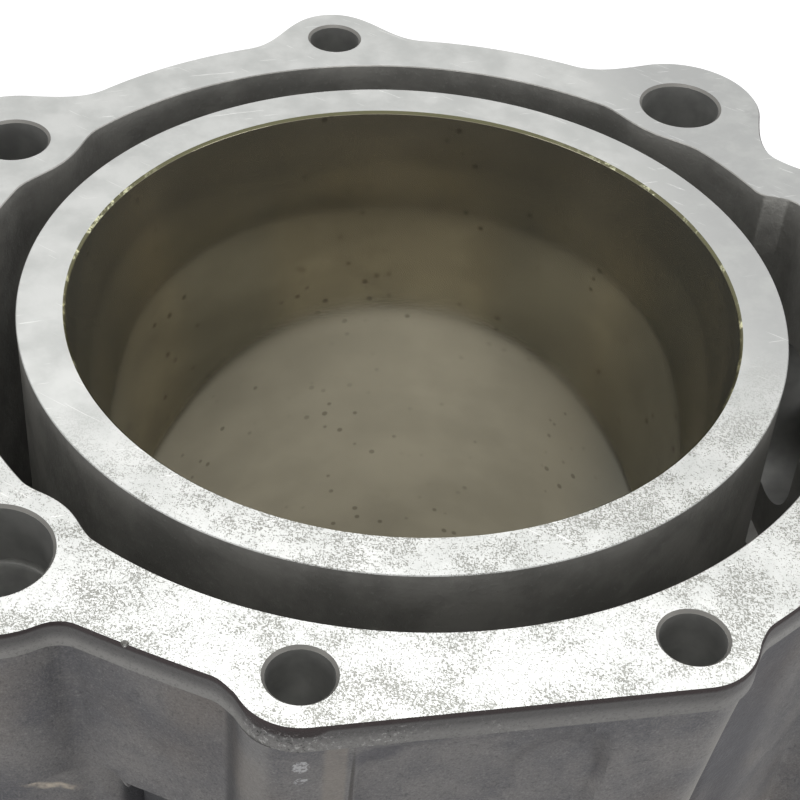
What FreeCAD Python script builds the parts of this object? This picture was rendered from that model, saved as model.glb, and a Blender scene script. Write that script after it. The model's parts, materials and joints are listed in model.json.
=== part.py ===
# Engine cylinder: one aluminium casting with an open deck and a plated bore.
#
# The bore wall is a free-standing ring inside a deep water jacket. Four columns carry the
# long studs from the deck down to the base flange and bulge into the jacket. Three small
# bolts sit outside the jacket, one at the back and two in the block across the front.
#
# Millimetres, +Z up along the bore. The origin is on the bore axis in the base gasket face,
# +X is the coolant side and -Y is the front with the two small bolts.
import FreeCAD, Part
import math
import os
import re

import Sketcher
from FreeCAD import Placement, Rotation, Vector

NODE = "engine_cylinder"

# Driving sizes: name, value in millimetres or degrees, what it sets
SIZES = [
    ("bore_radius", 48.0, "radius of the plated bore"),
    ("bore_chamfer", 0.8, "chamfer at the top of the bore"),
    ("bore_lead_in", 2.0, "chamfer at the bottom of the bore"),
    ("liner_wall", 6.85, "wall of the ring round the bore"),
    ("deck_height", 94.0, "base gasket face to deck"),
    ("spigot_length", 24.0, "reach of the spigot below the base face"),
    ("spigot_wall", 4.8, "wall of the spigot"),
    ("spigot_chamfer", 1.2, "chamfer at the outer end of the spigot"),
    ("jacket_width", 8.15, "gap between that ring and the outer jacket wall"),
    ("jacket_wall", 7.0, "wall outside the jacket, out to the round part of the deck outline"),
    ("jacket_forward", 0.8, "how far the outer jacket wall is centred to the front"),
    ("jacket_depth", 76.0, "deck to jacket floor"),
    ("jacket_floor_slope", 2.0, "sloping edge along the jacket floor"),
    ("deck_edge", 4.0, "height of the machined edge of the deck flange"),
    ("deck_edge_chamfer", 0.3, "broken edge round the top of the deck"),
    ("wall_setback", 0.8, "how far the cast wall stands inside the deck edge"),
    ("base_edge", 11.0, "thickness of the base flange"),
    ("base_proud", 1.0, "how far the round base flange stands outside the deck outline"),
    ("base_corner", 14.5, "corner radius of the base flange round a stud"),
    ("back_column", 9.8, "radius of a back stud column inside the jacket"),
    ("column_fillet", 3.5, "fillet between a back column and the jacket wall"),
    ("front_column", 11.35, "radius of the front left stud column inside the jacket"),
    ("outline_fillet", 7.0, "fillet between a stud boss and the round outline"),
    ("stud_hole", 5.3, "radius of a plain stud hole"),
    ("hole_chamfer", 0.5, "chamfer at the mouth of each deck hole"),
    ("dowel_depth", 10.0, "depth of a dowel seat"),
    ("back_left_out", 0.47, "how far the back left stud is outside the round outline"),
    ("back_left_angle", 140.53, "its direction from the bore axis, degrees"),
    ("back_left_boss", 12.9, "radius of its boss"),
    ("back_right_out", 0.97, "how far the back right stud is outside the round outline"),
    ("back_right_angle", 40.085, "its direction, degrees"),
    ("back_right_boss", 13.2, "radius of its boss"),
    ("back_right_dowel", 6.4, "radius of its dowel seat"),
    ("front_left_out", 3.28, "how far the front left stud is outside the round outline"),
    ("front_left_angle", 216.9, "its direction, degrees"),
    ("front_left_boss", 14.0, "radius of its boss"),
    ("front_left_dowel", 7.6, "radius of its dowel seat"),
    ("front_left_hole", 7.0, "radius of its stud hole"),
    ("front_right_out", 3.28, "how far the front right stud is outside the round outline"),
    ("front_right_angle", 323.1, "its direction, degrees"),
    ("front_right_boss", 13.6, "radius of its boss"),
    ("bolt_hole", 4.15, "radius of a small bolt hole"),
    ("bolt_depth", 13.0, "depth of a small bolt hole"),
    ("back_bolt_out", 1.3, "how far the back bolt is outside the round outline"),
    ("back_bolt_boss", 8.2, "radius of its boss"),
    ("back_lug_reach", 38.0, "how far its lug runs down the wall"),
    ("back_lug_foot", 3.0, "radius of that lug at its foot"),
    ("left_bolt_x", -23.85, "front bolt on the left"),
    ("right_bolt_x", 23.15, "front bolt on the right"),
    ("front_bolt_in", 2.1, "how far both front bolts are inside the round outline"),
    ("front_bolt_boss", 8.0, "radius of the deck round a front bolt"),
    ("block_reach", 56.0, "how far the front block runs down the wall"),
    ("block_draft", 6.7, "lean of the right side of the front block, degrees"),
    ("block_lean", 4.0, "lean of the front face of the block, degrees"),
    ("block_corner", 6.0, "corner radius of the front block"),
    ("block_foot", 16.0, "height of the sloping underside of the block"),
    ("web_tuck", 4.6, "stud axis to the end of the web from the front block, across"),
    ("web_forward", 9.8, "stud axis to the end of that web, to the front"),
    ("web_draft", 5.0, "lean of that web, degrees"),
    ("recess_left_x", -18.6, "left side of the shallow recess in the front face"),
    ("recess_right_x", 9.0, "right side of that recess"),
    ("recess_top", 6.0, "deck to the top of that recess"),
    ("recess_sink", 1.0, "depth of that recess"),
    ("recess_corner", 7.0, "corner radius of that recess"),
    ("port_y", 5.0, "centre of the coolant port and its bulge"),
    ("port_drop", 36.0, "deck to the centre of the coolant port"),
    ("port_radius", 8.5, "radius of the coolant port"),
    ("port_wall", 5.5, "wall of the port boss"),
    ("port_proud", 9.0, "bulge to the face of the port boss"),
    ("port_mouth_height", 30.0, "height of the port where it opens into the jacket"),
    ("port_mouth_corner", 6.0, "corner radius of that mouth"),
    ("port_pad_wall", 3.5, "wall of the pad round the tall part of the port"),
    ("port_pad_corner", 5.0, "corner radius of that pad"),
    ("port_shoulder", 3.0, "outer side of the bulge to the end of the tall part of the port"),
    ("bulge_proud", 7.0, "how far the bulge round the port stands out"),
    ("bulge_gap", 9.5, "bulge to the boss of the back right stud"),
    ("bulge_corner", 8.0, "corner radius of that bulge"),
    ("bulge_fillet", 5.5, "fillet between the bulge and the round outline"),
    ("bulge_foot_half", 12.0, "half the width of the bulge at its foot"),
    ("bulge_reach", 62.0, "how far the bulge runs down the wall"),
    ("side_pocket_proud", 2.5, "how much farther the wide part of the jacket reaches"),
    ("side_pocket_wall", 4.5, "side of the bulge to the wide part of the jacket"),
    ("side_pocket_depth", 60.0, "depth of the wide part of the jacket"),
    ("side_pocket_flare", 2.5, "how much wider it is at its inner side"),
    ("side_pocket_corner", 2.5, "corner radius of the wide part of the jacket"),
    ("web_pocket_start", -12.3, "left side of the pocket in the left web, from the middle of its face"),
    ("web_pocket_width", 12.2, "width of that pocket"),
    ("web_pocket_drop", 30.5, "deck to the top of that pocket"),
    ("web_pocket_height", 34.0, "height of that pocket"),
    ("web_pocket_wall", 3.2, "wall left between that pocket and the jacket"),
    ("web_pocket_corner", 3.6, "corner radius of that pocket"),
    ("stud_flat_wall", 3.5, "wall left between the front left stud hole and the flat in front of it"),
    ("root", 8.0, "how far an added boss reaches into the wall behind it"),
]

# Sizes worked out from them: name, expression, what it sets
DERIVED = [
    ("liner_radius", "bore_radius + liner_wall", "outside of the ring round the bore"),
    ("jacket_radius", "liner_radius + jacket_width", "outer jacket wall"),
    ("deck_radius", "jacket_radius + jacket_wall", "round part of the deck outline"),
    ("wall_radius", "deck_radius - wall_setback", "cast wall"),
    ("base_radius", "deck_radius + base_proud", "round part of the base flange"),
    ("deck_low", "deck_height - deck_edge", "underside of the deck flange"),
    ("wall_top", "deck_height - deck_edge / 2", "top of the cast wall, inside the deck flange"),
    ("jacket_low", "deck_height - jacket_depth", "jacket floor"),
    ("back_left_x", "(deck_radius + back_left_out) * cos(back_left_angle * 1deg)", "back left stud"),
    ("back_left_y", "(deck_radius + back_left_out) * sin(back_left_angle * 1deg)", "back left stud"),
    ("back_right_x", "(deck_radius + back_right_out) * cos(back_right_angle * 1deg)", "back right stud"),
    ("back_right_y", "(deck_radius + back_right_out) * sin(back_right_angle * 1deg)", "back right stud"),
    ("front_left_x", "(deck_radius + front_left_out) * cos(front_left_angle * 1deg)", "front left stud"),
    ("front_left_y", "(deck_radius + front_left_out) * sin(front_left_angle * 1deg)", "front left stud"),
    ("front_right_x", "(deck_radius + front_right_out) * cos(front_right_angle * 1deg)", "front right stud"),
    ("front_right_y", "(deck_radius + front_right_out) * sin(front_right_angle * 1deg)", "front right stud"),
    ("back_bolt_y", "deck_radius + back_bolt_out", "bolt behind the bore"),
    ("front_bolt_y", "0 - deck_radius + front_bolt_in", "both front bolts"),
    ("bulge_x", "deck_radius + bulge_proud", "outer side of the bulge round the port"),
    ("bulge_half", "back_right_y - back_right_boss - bulge_gap - port_y", "half the width of that bulge"),
    ("port_height", "deck_height - port_drop", "centre of the coolant port"),
    ("port_face_x", "bulge_x + port_proud", "face of the port boss"),
    ("port_chamber_x", "bulge_x - port_shoulder", "end of the tall part of the port"),
    ("side_pocket_x", "jacket_radius + side_pocket_proud", "far side of the wide part of the jacket"),
    ("side_pocket_half", "bulge_half - side_pocket_wall", "half the width of the wide part of the jacket"),
    ("web_left_x", "front_left_x + web_tuck", "outer end of the left web"),
    ("web_left_y", "front_left_y - web_forward", "outer end of the left web"),
    ("web_right_x", "front_right_x - web_tuck", "outer end of the right web"),
    ("web_right_y", "front_right_y - web_forward", "outer end of the right web"),
]

BACK_STUDS = ("back_left", "back_right")
STUDS = BACK_STUDS + ("front_left", "front_right")

doc = FreeCAD.newDocument("cylinder")
sheet = doc.addObject("Spreadsheet::Sheet", "Sizes")
for row, (alias, number, note) in enumerate(SIZES, start=1):
    sheet.set(f"A{row}", alias)
    sheet.set(f"B{row}", str(number))
    sheet.set(f"C{row}", note)
    sheet.setAlias(f"B{row}", alias)
for row, (alias, expression, note) in enumerate(DERIVED, start=len(SIZES) + 2):
    sheet.set(f"A{row}", alias)
    sheet.set(f"B{row}", "=" + expression)
    sheet.set(f"C{row}", note)
    sheet.setAlias(f"B{row}", alias)
doc.recompute()

REFERENCES = {alias: "Sizes." + alias for alias, setting, note in SIZES + DERIVED}


def cell(text):
    """Writes every size named in the text as a reference to the sheet."""
    return re.sub(r"[a-z_]+", lambda word: REFERENCES.get(word.group(), word.group()), text)


def number(text):
    """The present value of an expression in those sizes."""
    return float(sheet.evalExpression(cell(text)))


# Helpers that add one bound object each

UP = Rotation()
OUT_TO_X = Rotation(Vector(0, 1, 0), 90)
WEDGE_UP = Rotation(Vector(1, 0, 0), 90)


def tie(item, **expressions):
    """Ties properties of an object to the sheet; two underscores in a name stand for a dot."""
    for key, expression in expressions.items():
        item.setExpression(key.replace("__", "."), cell(expression))
    return item


def place(item, x, y, z, turn=UP):
    """Ties the place of an object to the sheet."""
    item.Placement = Placement(Vector(), turn)
    return tie(item, Placement__Base__x=x, Placement__Base__y=y, Placement__Base__z=z)


def settle(item):
    """Recomputes and stops with the object's name if it failed."""
    doc.recompute()
    if "Invalid" in item.State or "Error" in item.State or item.Shape.isNull() or not item.Shape.isValid():
        raise RuntimeError(f"{item.Name} failed")
    return item


def cylinder(name, radius, height, x="0", y="0", z="0", turn=UP):
    """A round bar standing on its place, or lying along +X."""
    item = tie(doc.addObject("Part::Cylinder", name), Radius=radius, Height=height)
    return settle(place(item, x, y, z, turn))


def wedge(name, low, high, foot, top):
    """A block with flat sides between two level rectangles, each given as left, right, front, back."""
    item = doc.addObject("Part::Wedge", name)
    tie(item, Ymin=low, Ymax=high)
    tie(item, Xmin=foot[0], Xmax=foot[1], Zmin=f"0 - ({foot[3]})", Zmax=f"0 - ({foot[2]})")
    tie(item, X2min=top[0], X2max=top[1], Z2min=f"0 - ({top[3]})", Z2max=f"0 - ({top[2]})")
    item.Placement = Placement(Vector(), WEDGE_UP)
    return settle(item)


def bind(sketch, kind, where, expression):
    """Adds one dimension to a sketch and ties it to the sheet."""
    index = sketch.addConstraint(Sketcher.Constraint(kind, *where, number(expression)))
    sketch.setExpression(f"Constraints[{index}]", cell(expression))


def prism(name, corners, height, z="0", draft=None):
    """An upright prism over a polygon whose corners are tied to the sheet; a negative height goes down."""
    sketch = doc.addObject("Sketcher::SketchObject", name + "Outline")
    points = [Vector(number(x), number(y), 0) for x, y in corners]
    sides = []
    for start, end in zip(points, points[1:] + points[:1]):
        sides.append(sketch.addGeometry(Part.LineSegment(start, end), False))
    for side, following in zip(sides, sides[1:] + sides[:1]):
        sketch.addConstraint(Sketcher.Constraint("Coincident", side, 2, following, 1))
    for side, (x, y) in zip(sides, corners):
        bind(sketch, "DistanceX", (-1, 1, side, 1), x)
        bind(sketch, "DistanceY", (-1, 1, side, 1), y)
    place(sketch, "0", "0", z)
    item = doc.addObject("Part::Extrusion", name)
    item.Base = sketch
    item.DirMode = "Custom"
    item.Dir = Vector(0, 0, 1)
    item.Solid = True
    tie(item, LengthFwd=height)
    if draft:
        tie(item, TaperAngle=draft)
    return settle(item)


def join(name, *items):
    """Several solids made one."""
    item = doc.addObject("Part::MultiFuse", name)
    item.Shapes = list(items)
    item.Refine = True
    return settle(item)


def cut(name, base, *tools):
    """The base with the tools taken away."""
    tool = tools[0] if len(tools) == 1 else join(name + "Tools", *tools)
    item = doc.addObject("Part::Cut", name)
    item.Base = base
    item.Tool = tool
    item.Refine = True
    settle(item)
    if item.Shape.Volume > base.Shape.Volume - 1.0:
        raise RuntimeError(f"{name} cuts nothing")
    return item


def dress(kind, name, base, edges, size):
    """A fillet or chamfer on numbered edges of an object."""
    if not edges:
        raise RuntimeError(f"{name} finds no edge")
    item = doc.addObject("Part::" + kind, name)
    item.Base = base
    item.Edges = [(index, number(size), number(size)) for index in edges]
    return settle(item)


# Helpers that find edges


def solid_share(shape, point, reach):
    """The share of a small level circle round a point that is solid."""
    steps = 12
    inside = 0
    for step in range(steps):
        angle = 2 * math.pi * (step + 0.5) / steps
        probe = point + Vector(reach * math.cos(angle), reach * math.sin(angle), 0)
        inside += shape.isInside(probe, 1e-4, False)
    return inside / steps


def upright_corners(item, hollow, keep=lambda point: True):
    """Numbers of the straight upright edges of an object that are hollow or proud corners."""
    found = []
    for index, edge in enumerate(item.Shape.Edges, start=1):
        ends = sorted((vertex.Point for vertex in edge.Vertexes), key=lambda end: end.z)
        if len(ends) < 2:
            continue
        run = ends[-1] - ends[0]
        if edge.Length - run.Length > 0.001 or run.z < 0.9 * run.Length or run.z < 0.5:
            continue
        middle = (ends[0] + ends[-1]) / 2
        if not keep(middle):
            continue
        share = solid_share(item.Shape, middle, 0.2)
        if share > 0.56 if hollow else share < 0.44:
            found.append(index)
    return found


def edges_along(item, direction, keep=lambda point: True):
    """Numbers of the straight edges of an object that run along a direction."""
    found = []
    for index, edge in enumerate(item.Shape.Edges, start=1):
        ends = [vertex.Point for vertex in edge.Vertexes]
        if len(ends) < 2 or edge.Length - (ends[1] - ends[0]).Length > 0.001:
            continue
        run = (ends[1] - ends[0]).normalize()
        if abs(run.dot(direction)) > 0.9999 and keep((ends[0] + ends[1]) / 2):
            found.append(index)
    return found


def level_edges(item, height):
    """Numbers of all edges of an object that lie at one height."""
    found = []
    for index, edge in enumerate(item.Shape.Edges, start=1):
        box = edge.BoundBox
        if abs(box.ZMin - height) < 0.01 and abs(box.ZMax - height) < 0.01:
            found.append(index)
    return found


# Cast wall: the barrel and the four stud columns, from the base face up into the deck flange

wall = join("CastWall",
            cylinder("Barrel", "wall_radius", "wall_top"),
            *[cylinder(f"Column_{stud}", f"{stud}_boss - wall_setback", "wall_top", f"{stud}_x", f"{stud}_y")
              for stud in STUDS])
wall = dress("Fillet", "ColumnBlends", wall, upright_corners(wall, True), "outline_fillet")

# Front block: upright on the left, leaning in on the right and at the front, with a sloping foot

block_fall = "(block_reach - deck_edge / 2)"
block_front = "front_bolt_y - front_bolt_boss + wall_setback"
block_left = "left_bolt_x - front_bolt_boss + wall_setback / 2"
block_right = "right_bolt_x + front_bolt_boss - wall_setback"
block_back = "0 - deck_radius * 0.75"
low_right = f"{block_right} - {block_fall} * tan(block_draft * 1deg)"
low_front = f"{block_front} + {block_fall} * tan(block_lean * 1deg)"
block_low = "deck_height - block_reach"
block_sill = (block_left, low_right, low_front, block_back)
block_head = (block_left, block_right, block_front, block_back)
block = wedge("FrontBlock", block_low, "wall_top", block_sill, block_head)


def at_block_face(point):
    """True at the two front corners of the block."""
    return point.y < number(block_front + " + deck_radius / 8")


block = dress("Fillet", "BlockCorners", block, upright_corners(block, False, at_block_face), "block_corner")
block_toe = ("left_bolt_x + front_bolt_boss", "right_bolt_x - 1.5 * front_bolt_boss",
             "block_corner - wall_radius", block_back)
underside = wedge("BlockUnderside", "deck_height - block_reach - block_foot", block_low, block_toe,
                  ("left_bolt_x", f"{low_right} - block_corner", low_front, block_back))

# Webs from the front block out to the front studs, drafted so that they fade into the barrel

web_back = "0 - deck_radius / 2"
web_left = "left_bolt_x - front_bolt_boss + wall_setback"
web_right = "right_bolt_x + front_bolt_boss - wall_setback"
webs = prism("FrontWebs", [
    ("web_left_x", "web_left_y + wall_setback"),
    (web_left, "front_bolt_y + 2 * wall_setback"),
    (web_right, "front_bolt_y + 2 * wall_setback"),
    ("web_right_x", "web_right_y + wall_setback"),
    ("web_right_x", web_back),
    ("web_left_x", web_back),
], f"0 - {block_fall}", "wall_top", "web_draft")

# Lug of the back bolt: a leaning cone that fades into the wall

lug_shift = "(back_bolt_y - wall_radius + 2 * back_lug_foot)"
lug_fall = "(back_lug_reach - deck_edge / 2)"
lug = doc.addObject("Part::Cone", "BackLug")
place(lug, "0", f"back_bolt_y - {lug_shift}", "deck_height - back_lug_reach",
      Rotation(Vector(-1, 0, 0), 10))
tie(lug, Placement__Rotation__Angle=f"atan({lug_shift} / {lug_fall})")
tie(lug, Radius1="back_lug_foot", Radius2="back_bolt_boss - wall_setback",
    Height=f"{lug_fall} / cos(atan({lug_shift} / {lug_fall}))")
settle(lug)

# Bulge round the coolant port, fading into the barrel at its foot, with the round port boss

bulge_inner = "deck_radius / 2"
bulge = wedge("PortBulge", "deck_height - bulge_reach", "wall_top",
              (bulge_inner, "wall_radius - root / 2", "port_y - bulge_foot_half",
               "port_y + bulge_foot_half"),
              (bulge_inner, "bulge_x - wall_setback", "port_y - bulge_half + wall_setback",
               "port_y + bulge_half - wall_setback"))


def at_bulge_face(point):
    """True at the outer corners of the bulge."""
    return point.x > number("deck_radius * 0.8")


bulge = dress("Fillet", "BulgeSides", bulge, upright_corners(bulge, False, at_bulge_face), "bulge_fillet")
port_boss = cylinder("PortBoss", "port_radius + port_wall", "port_face_x - deck_radius + root",
                     "deck_radius - root", "port_y", "port_height", OUT_TO_X)
mouth_half = "(port_mouth_height / 2)"
port_pad = wedge("PortPad", f"port_height - {mouth_half} - port_pad_wall",
                 f"port_height + {mouth_half} + port_pad_wall",
                 *[(bulge_inner, "port_chamber_x + port_pad_wall",
                    "port_y - port_radius - port_pad_wall",
                    "port_y + port_radius + port_pad_wall")] * 2)
port_pad = dress("Fillet", "PortPadCorners", port_pad, edges_along(port_pad, Vector(1, 0, 0)),
                 "port_pad_corner")

# Base flange: a rectangle round the studs and a round swelling

flange_left = "front_left_x - base_corner"
flange_right = "front_right_x + base_corner"
flange_front = "front_left_y - base_corner"
flange_rear = "back_left_y + base_corner"
flange_bars = [
    wedge("FlangeLong", "0", "base_edge",
          *[(flange_left, flange_right, "front_left_y", "back_left_y")] * 2),
    wedge("FlangeWide", "0", "base_edge",
          *[("front_left_x", "front_right_x", flange_front, flange_rear)] * 2),
]
flange_corners = [
    cylinder(f"FlangeCorner_{side}_{end}", "base_corner", "base_edge", f"front_{side}_x", y)
    for side in ("left", "right")
    for end, y in (("front", "front_left_y"), ("back", "back_left_y"))
]
flange_round = cylinder("FlangeRound", "base_radius", "base_edge")
flange = join("BaseFlange", flange_round, *flange_bars, *flange_corners)
flange = dress("Fillet", "FlangeBlends", flange, upright_corners(flange, True), "outline_fillet")

# Deck flange: its machined edge follows the same outline as the wall, a little proud of it

bulge_plate = wedge("DeckBulge", "deck_low", "deck_height",
                    *[(bulge_inner, "bulge_x", "port_y - bulge_half", "port_y + bulge_half")] * 2)
bulge_plate = dress("Fillet", "DeckBulgeCorners", bulge_plate,
                    upright_corners(bulge_plate, False, at_bulge_face), "bulge_corner")
front_plate = prism("DeckFront", [
    ("web_left_x", "web_left_y"),
    ("left_bolt_x - front_bolt_boss", "front_bolt_y"),
    ("left_bolt_x", "front_bolt_y"),
    ("left_bolt_x", "front_bolt_y - front_bolt_boss"),
    ("right_bolt_x", "front_bolt_y - front_bolt_boss"),
    ("right_bolt_x", "front_bolt_y"),
    ("right_bolt_x + front_bolt_boss", "front_bolt_y"),
    ("web_right_x", "web_right_y"),
    ("web_right_x", web_back),
    ("web_left_x", web_back),
], "deck_edge", "deck_low")
bolt_places = {
    "back_bolt": ("0", "back_bolt_y"),
    "left_bolt": ("left_bolt_x", "front_bolt_y"),
    "right_bolt": ("right_bolt_x", "front_bolt_y"),
}
bolt_bosses = {
    "back_bolt": "back_bolt_boss",
    "left_bolt": "front_bolt_boss",
    "right_bolt": "front_bolt_boss",
}
deck = join("DeckFlange",
            cylinder("DeckRound", "deck_radius", "deck_edge", z="deck_low"),
            *[cylinder(f"DeckBoss_{stud}", f"{stud}_boss", "deck_edge", f"{stud}_x", f"{stud}_y", "deck_low")
              for stud in STUDS],
            *[cylinder(f"DeckBoss_{bolt}", bolt_bosses[bolt], "deck_edge", x, y, "deck_low")
              for bolt, (x, y) in bolt_places.items()],
            front_plate, bulge_plate)


def by_bulge(point):
    """True beside the bulge round the port."""
    return point.x > 0 and abs(point.y - number("port_y")) < number("bulge_half") + 2


deck = dress("Fillet", "DeckBulgeBlends", deck, upright_corners(deck, True, by_bulge), "bulge_fillet")
deck = dress("Fillet", "DeckBlends", deck, upright_corners(deck, True), "outline_fillet")
deck = dress("Chamfer", "DeckEdgeBroken", deck, level_edges(deck, number("deck_height")),
             "deck_edge_chamfer")

# Spigot that reaches into the crankcase, chamfered at its outer end

spigot = cylinder("SpigotRound", "bore_radius + spigot_wall", "spigot_length + base_edge",
                  z="0 - spigot_length")
spigot = dress("Chamfer", "Spigot", spigot, level_edges(spigot, number("0 - spigot_length")),
               "spigot_chamfer")

casting = join("Casting", wall, block, underside, webs, lug, bulge, port_boss, port_pad, flange,
               deck, spigot)

# Water jacket, made as its own hollow: a ring with a wider part at the coolant side,
# less the stud columns that bulge into it, sloped along the edge of its floor

over = "deck_edge"
pocket_inner = "((jacket_radius + liner_radius) / 2)"
wide_half = "(side_pocket_half + side_pocket_flare / 2)"
slim_half = "(side_pocket_half - side_pocket_flare / 2)"
side_pocket = prism("SidePocket", [
    ("deck_radius / 2", f"port_y - {wide_half}"),
    (pocket_inner, f"port_y - {wide_half}"),
    ("side_pocket_x", f"port_y - {slim_half}"),
    ("side_pocket_x", f"port_y + {slim_half}"),
    (pocket_inner, f"port_y + {wide_half}"),
    ("deck_radius / 2", f"port_y + {wide_half}"),
], f"side_pocket_depth + {over}", "deck_height - side_pocket_depth")


def at_pocket_face(point):
    """True at the outer corners of the wide part."""
    return point.x > number("side_pocket_x") - 1


side_pocket = dress("Fillet", "SidePocketCorners", side_pocket,
                    upright_corners(side_pocket, False, at_pocket_face), "side_pocket_corner")
ring = cylinder("JacketRing", "jacket_radius", f"jacket_depth + {over}", y="0 - jacket_forward",
                z="jacket_low")


def inner_column(stud, radius):
    """A stud column where it stands in the jacket, taller than the jacket at both ends."""
    return cylinder(f"InnerColumn_{stud}", radius, f"jacket_depth + 2 * {over}",
                    f"{stud}_x", f"{stud}_y", f"jacket_low - {over}")


jacket = cut("JacketHollow", join("JacketOuter", ring, side_pocket),
             *[inner_column(stud, "back_column") for stud in BACK_STUDS])


def beside_pocket(point):
    """True anywhere but at the wide part of the jacket."""
    return point.x < number("liner_radius")


jacket = dress("Fillet", "JacketBlends", jacket, upright_corners(jacket, False, beside_pocket),
               "column_fillet")
jacket = dress("Chamfer", "JacketFloor", jacket, level_edges(jacket, number("jacket_low")),
               "jacket_floor_slope")
jacket = cut("JacketRoundFrontColumn", jacket, inner_column("front_left", "front_column"))
liner = cylinder("Liner", "liner_radius", f"jacket_depth + 3 * {over}", z=f"jacket_low - {over}")
jacket = cut("JacketRoundLiner", jacket, liner)

cylinder_body = cut("OpenDeck", casting, jacket)

# Bore with its chamfers: one revolved plug

plug_low = "0 - spigot_length"
plug = cylinder("BorePlug", "bore_radius", "deck_height + spigot_length", z=plug_low)
top_cone = doc.addObject("Part::Cone", "BoreChamfer")
tie(top_cone, Radius1="bore_radius", Radius2="bore_radius + bore_chamfer", Height="bore_chamfer")
settle(place(top_cone, "0", "0", "deck_height - bore_chamfer"))
foot_cone = doc.addObject("Part::Cone", "BoreLeadIn")
tie(foot_cone, Radius1="bore_radius + bore_lead_in", Radius2="bore_radius", Height="bore_lead_in")
settle(place(foot_cone, "0", "0", plug_low))
cylinder_body = cut("Bored", cylinder_body, plug, top_cone, foot_cone)

# Stud holes, dowel seats and small bolt holes, each with a chamfered mouth


def drill(name, radius, depth, x, y):
    """A hole from the deck down with a chamfer at its mouth."""
    shaft = cylinder(name + "Shaft", radius, depth, x, y, f"deck_height - {depth}")
    mouth = doc.addObject("Part::Cone", name + "Mouth")
    tie(mouth, Radius1=radius, Radius2=f"{radius} + hole_chamfer", Height="hole_chamfer")
    settle(place(mouth, x, y, "deck_height - hole_chamfer"))
    return [shaft, mouth]


holes = []
for stud in STUDS:
    radius = "front_left_hole" if stud == "front_left" else "stud_hole"
    holes += drill("Stud_" + stud, radius, "deck_height", f"{stud}_x", f"{stud}_y")
for stud in ("back_right", "front_left"):
    holes += drill("Dowel_" + stud, f"{stud}_dowel", "dowel_depth", f"{stud}_x", f"{stud}_y")
for bolt, (x, y) in bolt_places.items():
    holes += drill("Bolt_" + bolt, "bolt_hole", "bolt_depth", x, y)

# Coolant port: tall where it opens into the jacket, round at its outer end

holes.append(cylinder("PortBore", "port_radius", f"port_face_x - {pocket_inner}", pocket_inner,
                      "port_y", "port_height", OUT_TO_X))
mouth = wedge("PortMouth", f"port_height - {mouth_half}", f"port_height + {mouth_half}",
              *[(pocket_inner, "port_chamber_x", "port_y - port_radius", "port_y + port_radius")] * 2)
holes.append(dress("Fillet", "PortMouthCorners", mouth, edges_along(mouth, Vector(1, 0, 0)),
                   "port_mouth_corner"))

# Shallow recess in the front face, between the two bolt columns, with rounded upper corners

recess_foot = ("recess_left_x", "recess_right_x - recess_corner",
               f"{low_front} - deck_edge", f"{low_front} + recess_sink")
recess_head = ("recess_left_x", "recess_right_x",
               f"{block_front} - deck_edge", f"{block_front} + recess_sink")
recess = wedge("FaceRecess", f"{block_low} + block_corner", "deck_height - recess_top",
               recess_foot, recess_head)


def at_recess_top(point):
    """True at the upper corners of the recess."""
    return point.z > number("deck_height - block_reach / 2")


recess = dress("Fillet", "RecessCorners", recess, edges_along(recess, Vector(0, 1, 0), at_recess_top),
               "recess_corner")
holes.append(recess)

# Deep pocket in the left web, square to its face, and a flat down the front left stud column

web_run_x = f"({web_left} - web_left_x)"
web_run_y = "(front_bolt_y + 2 * wall_setback - web_left_y - wall_setback)"
web_turn = f"atan({web_run_y} / {web_run_x})"
pocket_floor = "(jacket_radius + jacket_forward + web_pocket_wall)"
pocket_face = f"({pocket_floor} + web_pocket_wall + root)"
web_pocket = doc.addObject("Part::Box", "WebPocketBlock")
tie(web_pocket, Length="web_pocket_width", Width="web_pocket_wall + root", Height="web_pocket_height")
place(web_pocket, f"web_pocket_start * cos({web_turn}) + {pocket_face} * sin({web_turn})",
      f"web_pocket_start * sin({web_turn}) - {pocket_face} * cos({web_turn})",
      "deck_height - web_pocket_drop - web_pocket_height", Rotation(Vector(0, 0, 1), 10))
tie(web_pocket, Placement__Rotation__Angle=web_turn)
settle(web_pocket)
face_normal = web_pocket.Placement.Rotation.multVec(Vector(0, 1, 0))
web_pocket = dress("Fillet", "WebPocket", web_pocket, edges_along(web_pocket, face_normal),
                   "web_pocket_corner")
holes.append(web_pocket)

flat_y = "(front_left_y - front_left_hole - stud_flat_wall)"
flat_outline = ("front_left_x - front_left_boss", "front_left_x + front_left_boss",
                f"{flat_y} - root", flat_y)
holes.append(wedge("StudFlat", "base_edge + outline_fillet", "deck_height - web_pocket_drop",
                   flat_outline, flat_outline))

finished = cut("Finished", cylinder_body, *holes)
finished.Label = NODE

# Checks and export

for item in doc.Objects:
    if "Invalid" in item.State or "Error" in item.State:
        raise RuntimeError(f"{item.Name} failed: {item.State}")
shape = finished.Shape
if shape.isNull() or not shape.isValid() or len(shape.Solids) != 1:
    raise RuntimeError("the cylinder is not one valid solid")

os.makedirs("parts", exist_ok=True)
shape.exportStep(f"parts/{NODE}.step")
box = shape.BoundBox
print("box", [round(side, 2) for side in (box.XMin, box.XMax, box.YMin, box.YMax, box.ZMin, box.ZMax)])
print("volume", round(shape.Volume / 1000, 1), "cm3, faces", len(shape.Faces))
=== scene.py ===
# %% [markdown]
# # Engine cylinder with an open deck
# The real piece is one aluminium casting: a bore ring that stands free inside a water jacket,
# four stud columns, a block across the front and a machined deck on top. It could be shown as
# the plain CAD solid, but that has hard, even faces. Here the same form is worked out again as
# one closed surface, so that cast corners are soft and machined edges stay crisp.

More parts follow.
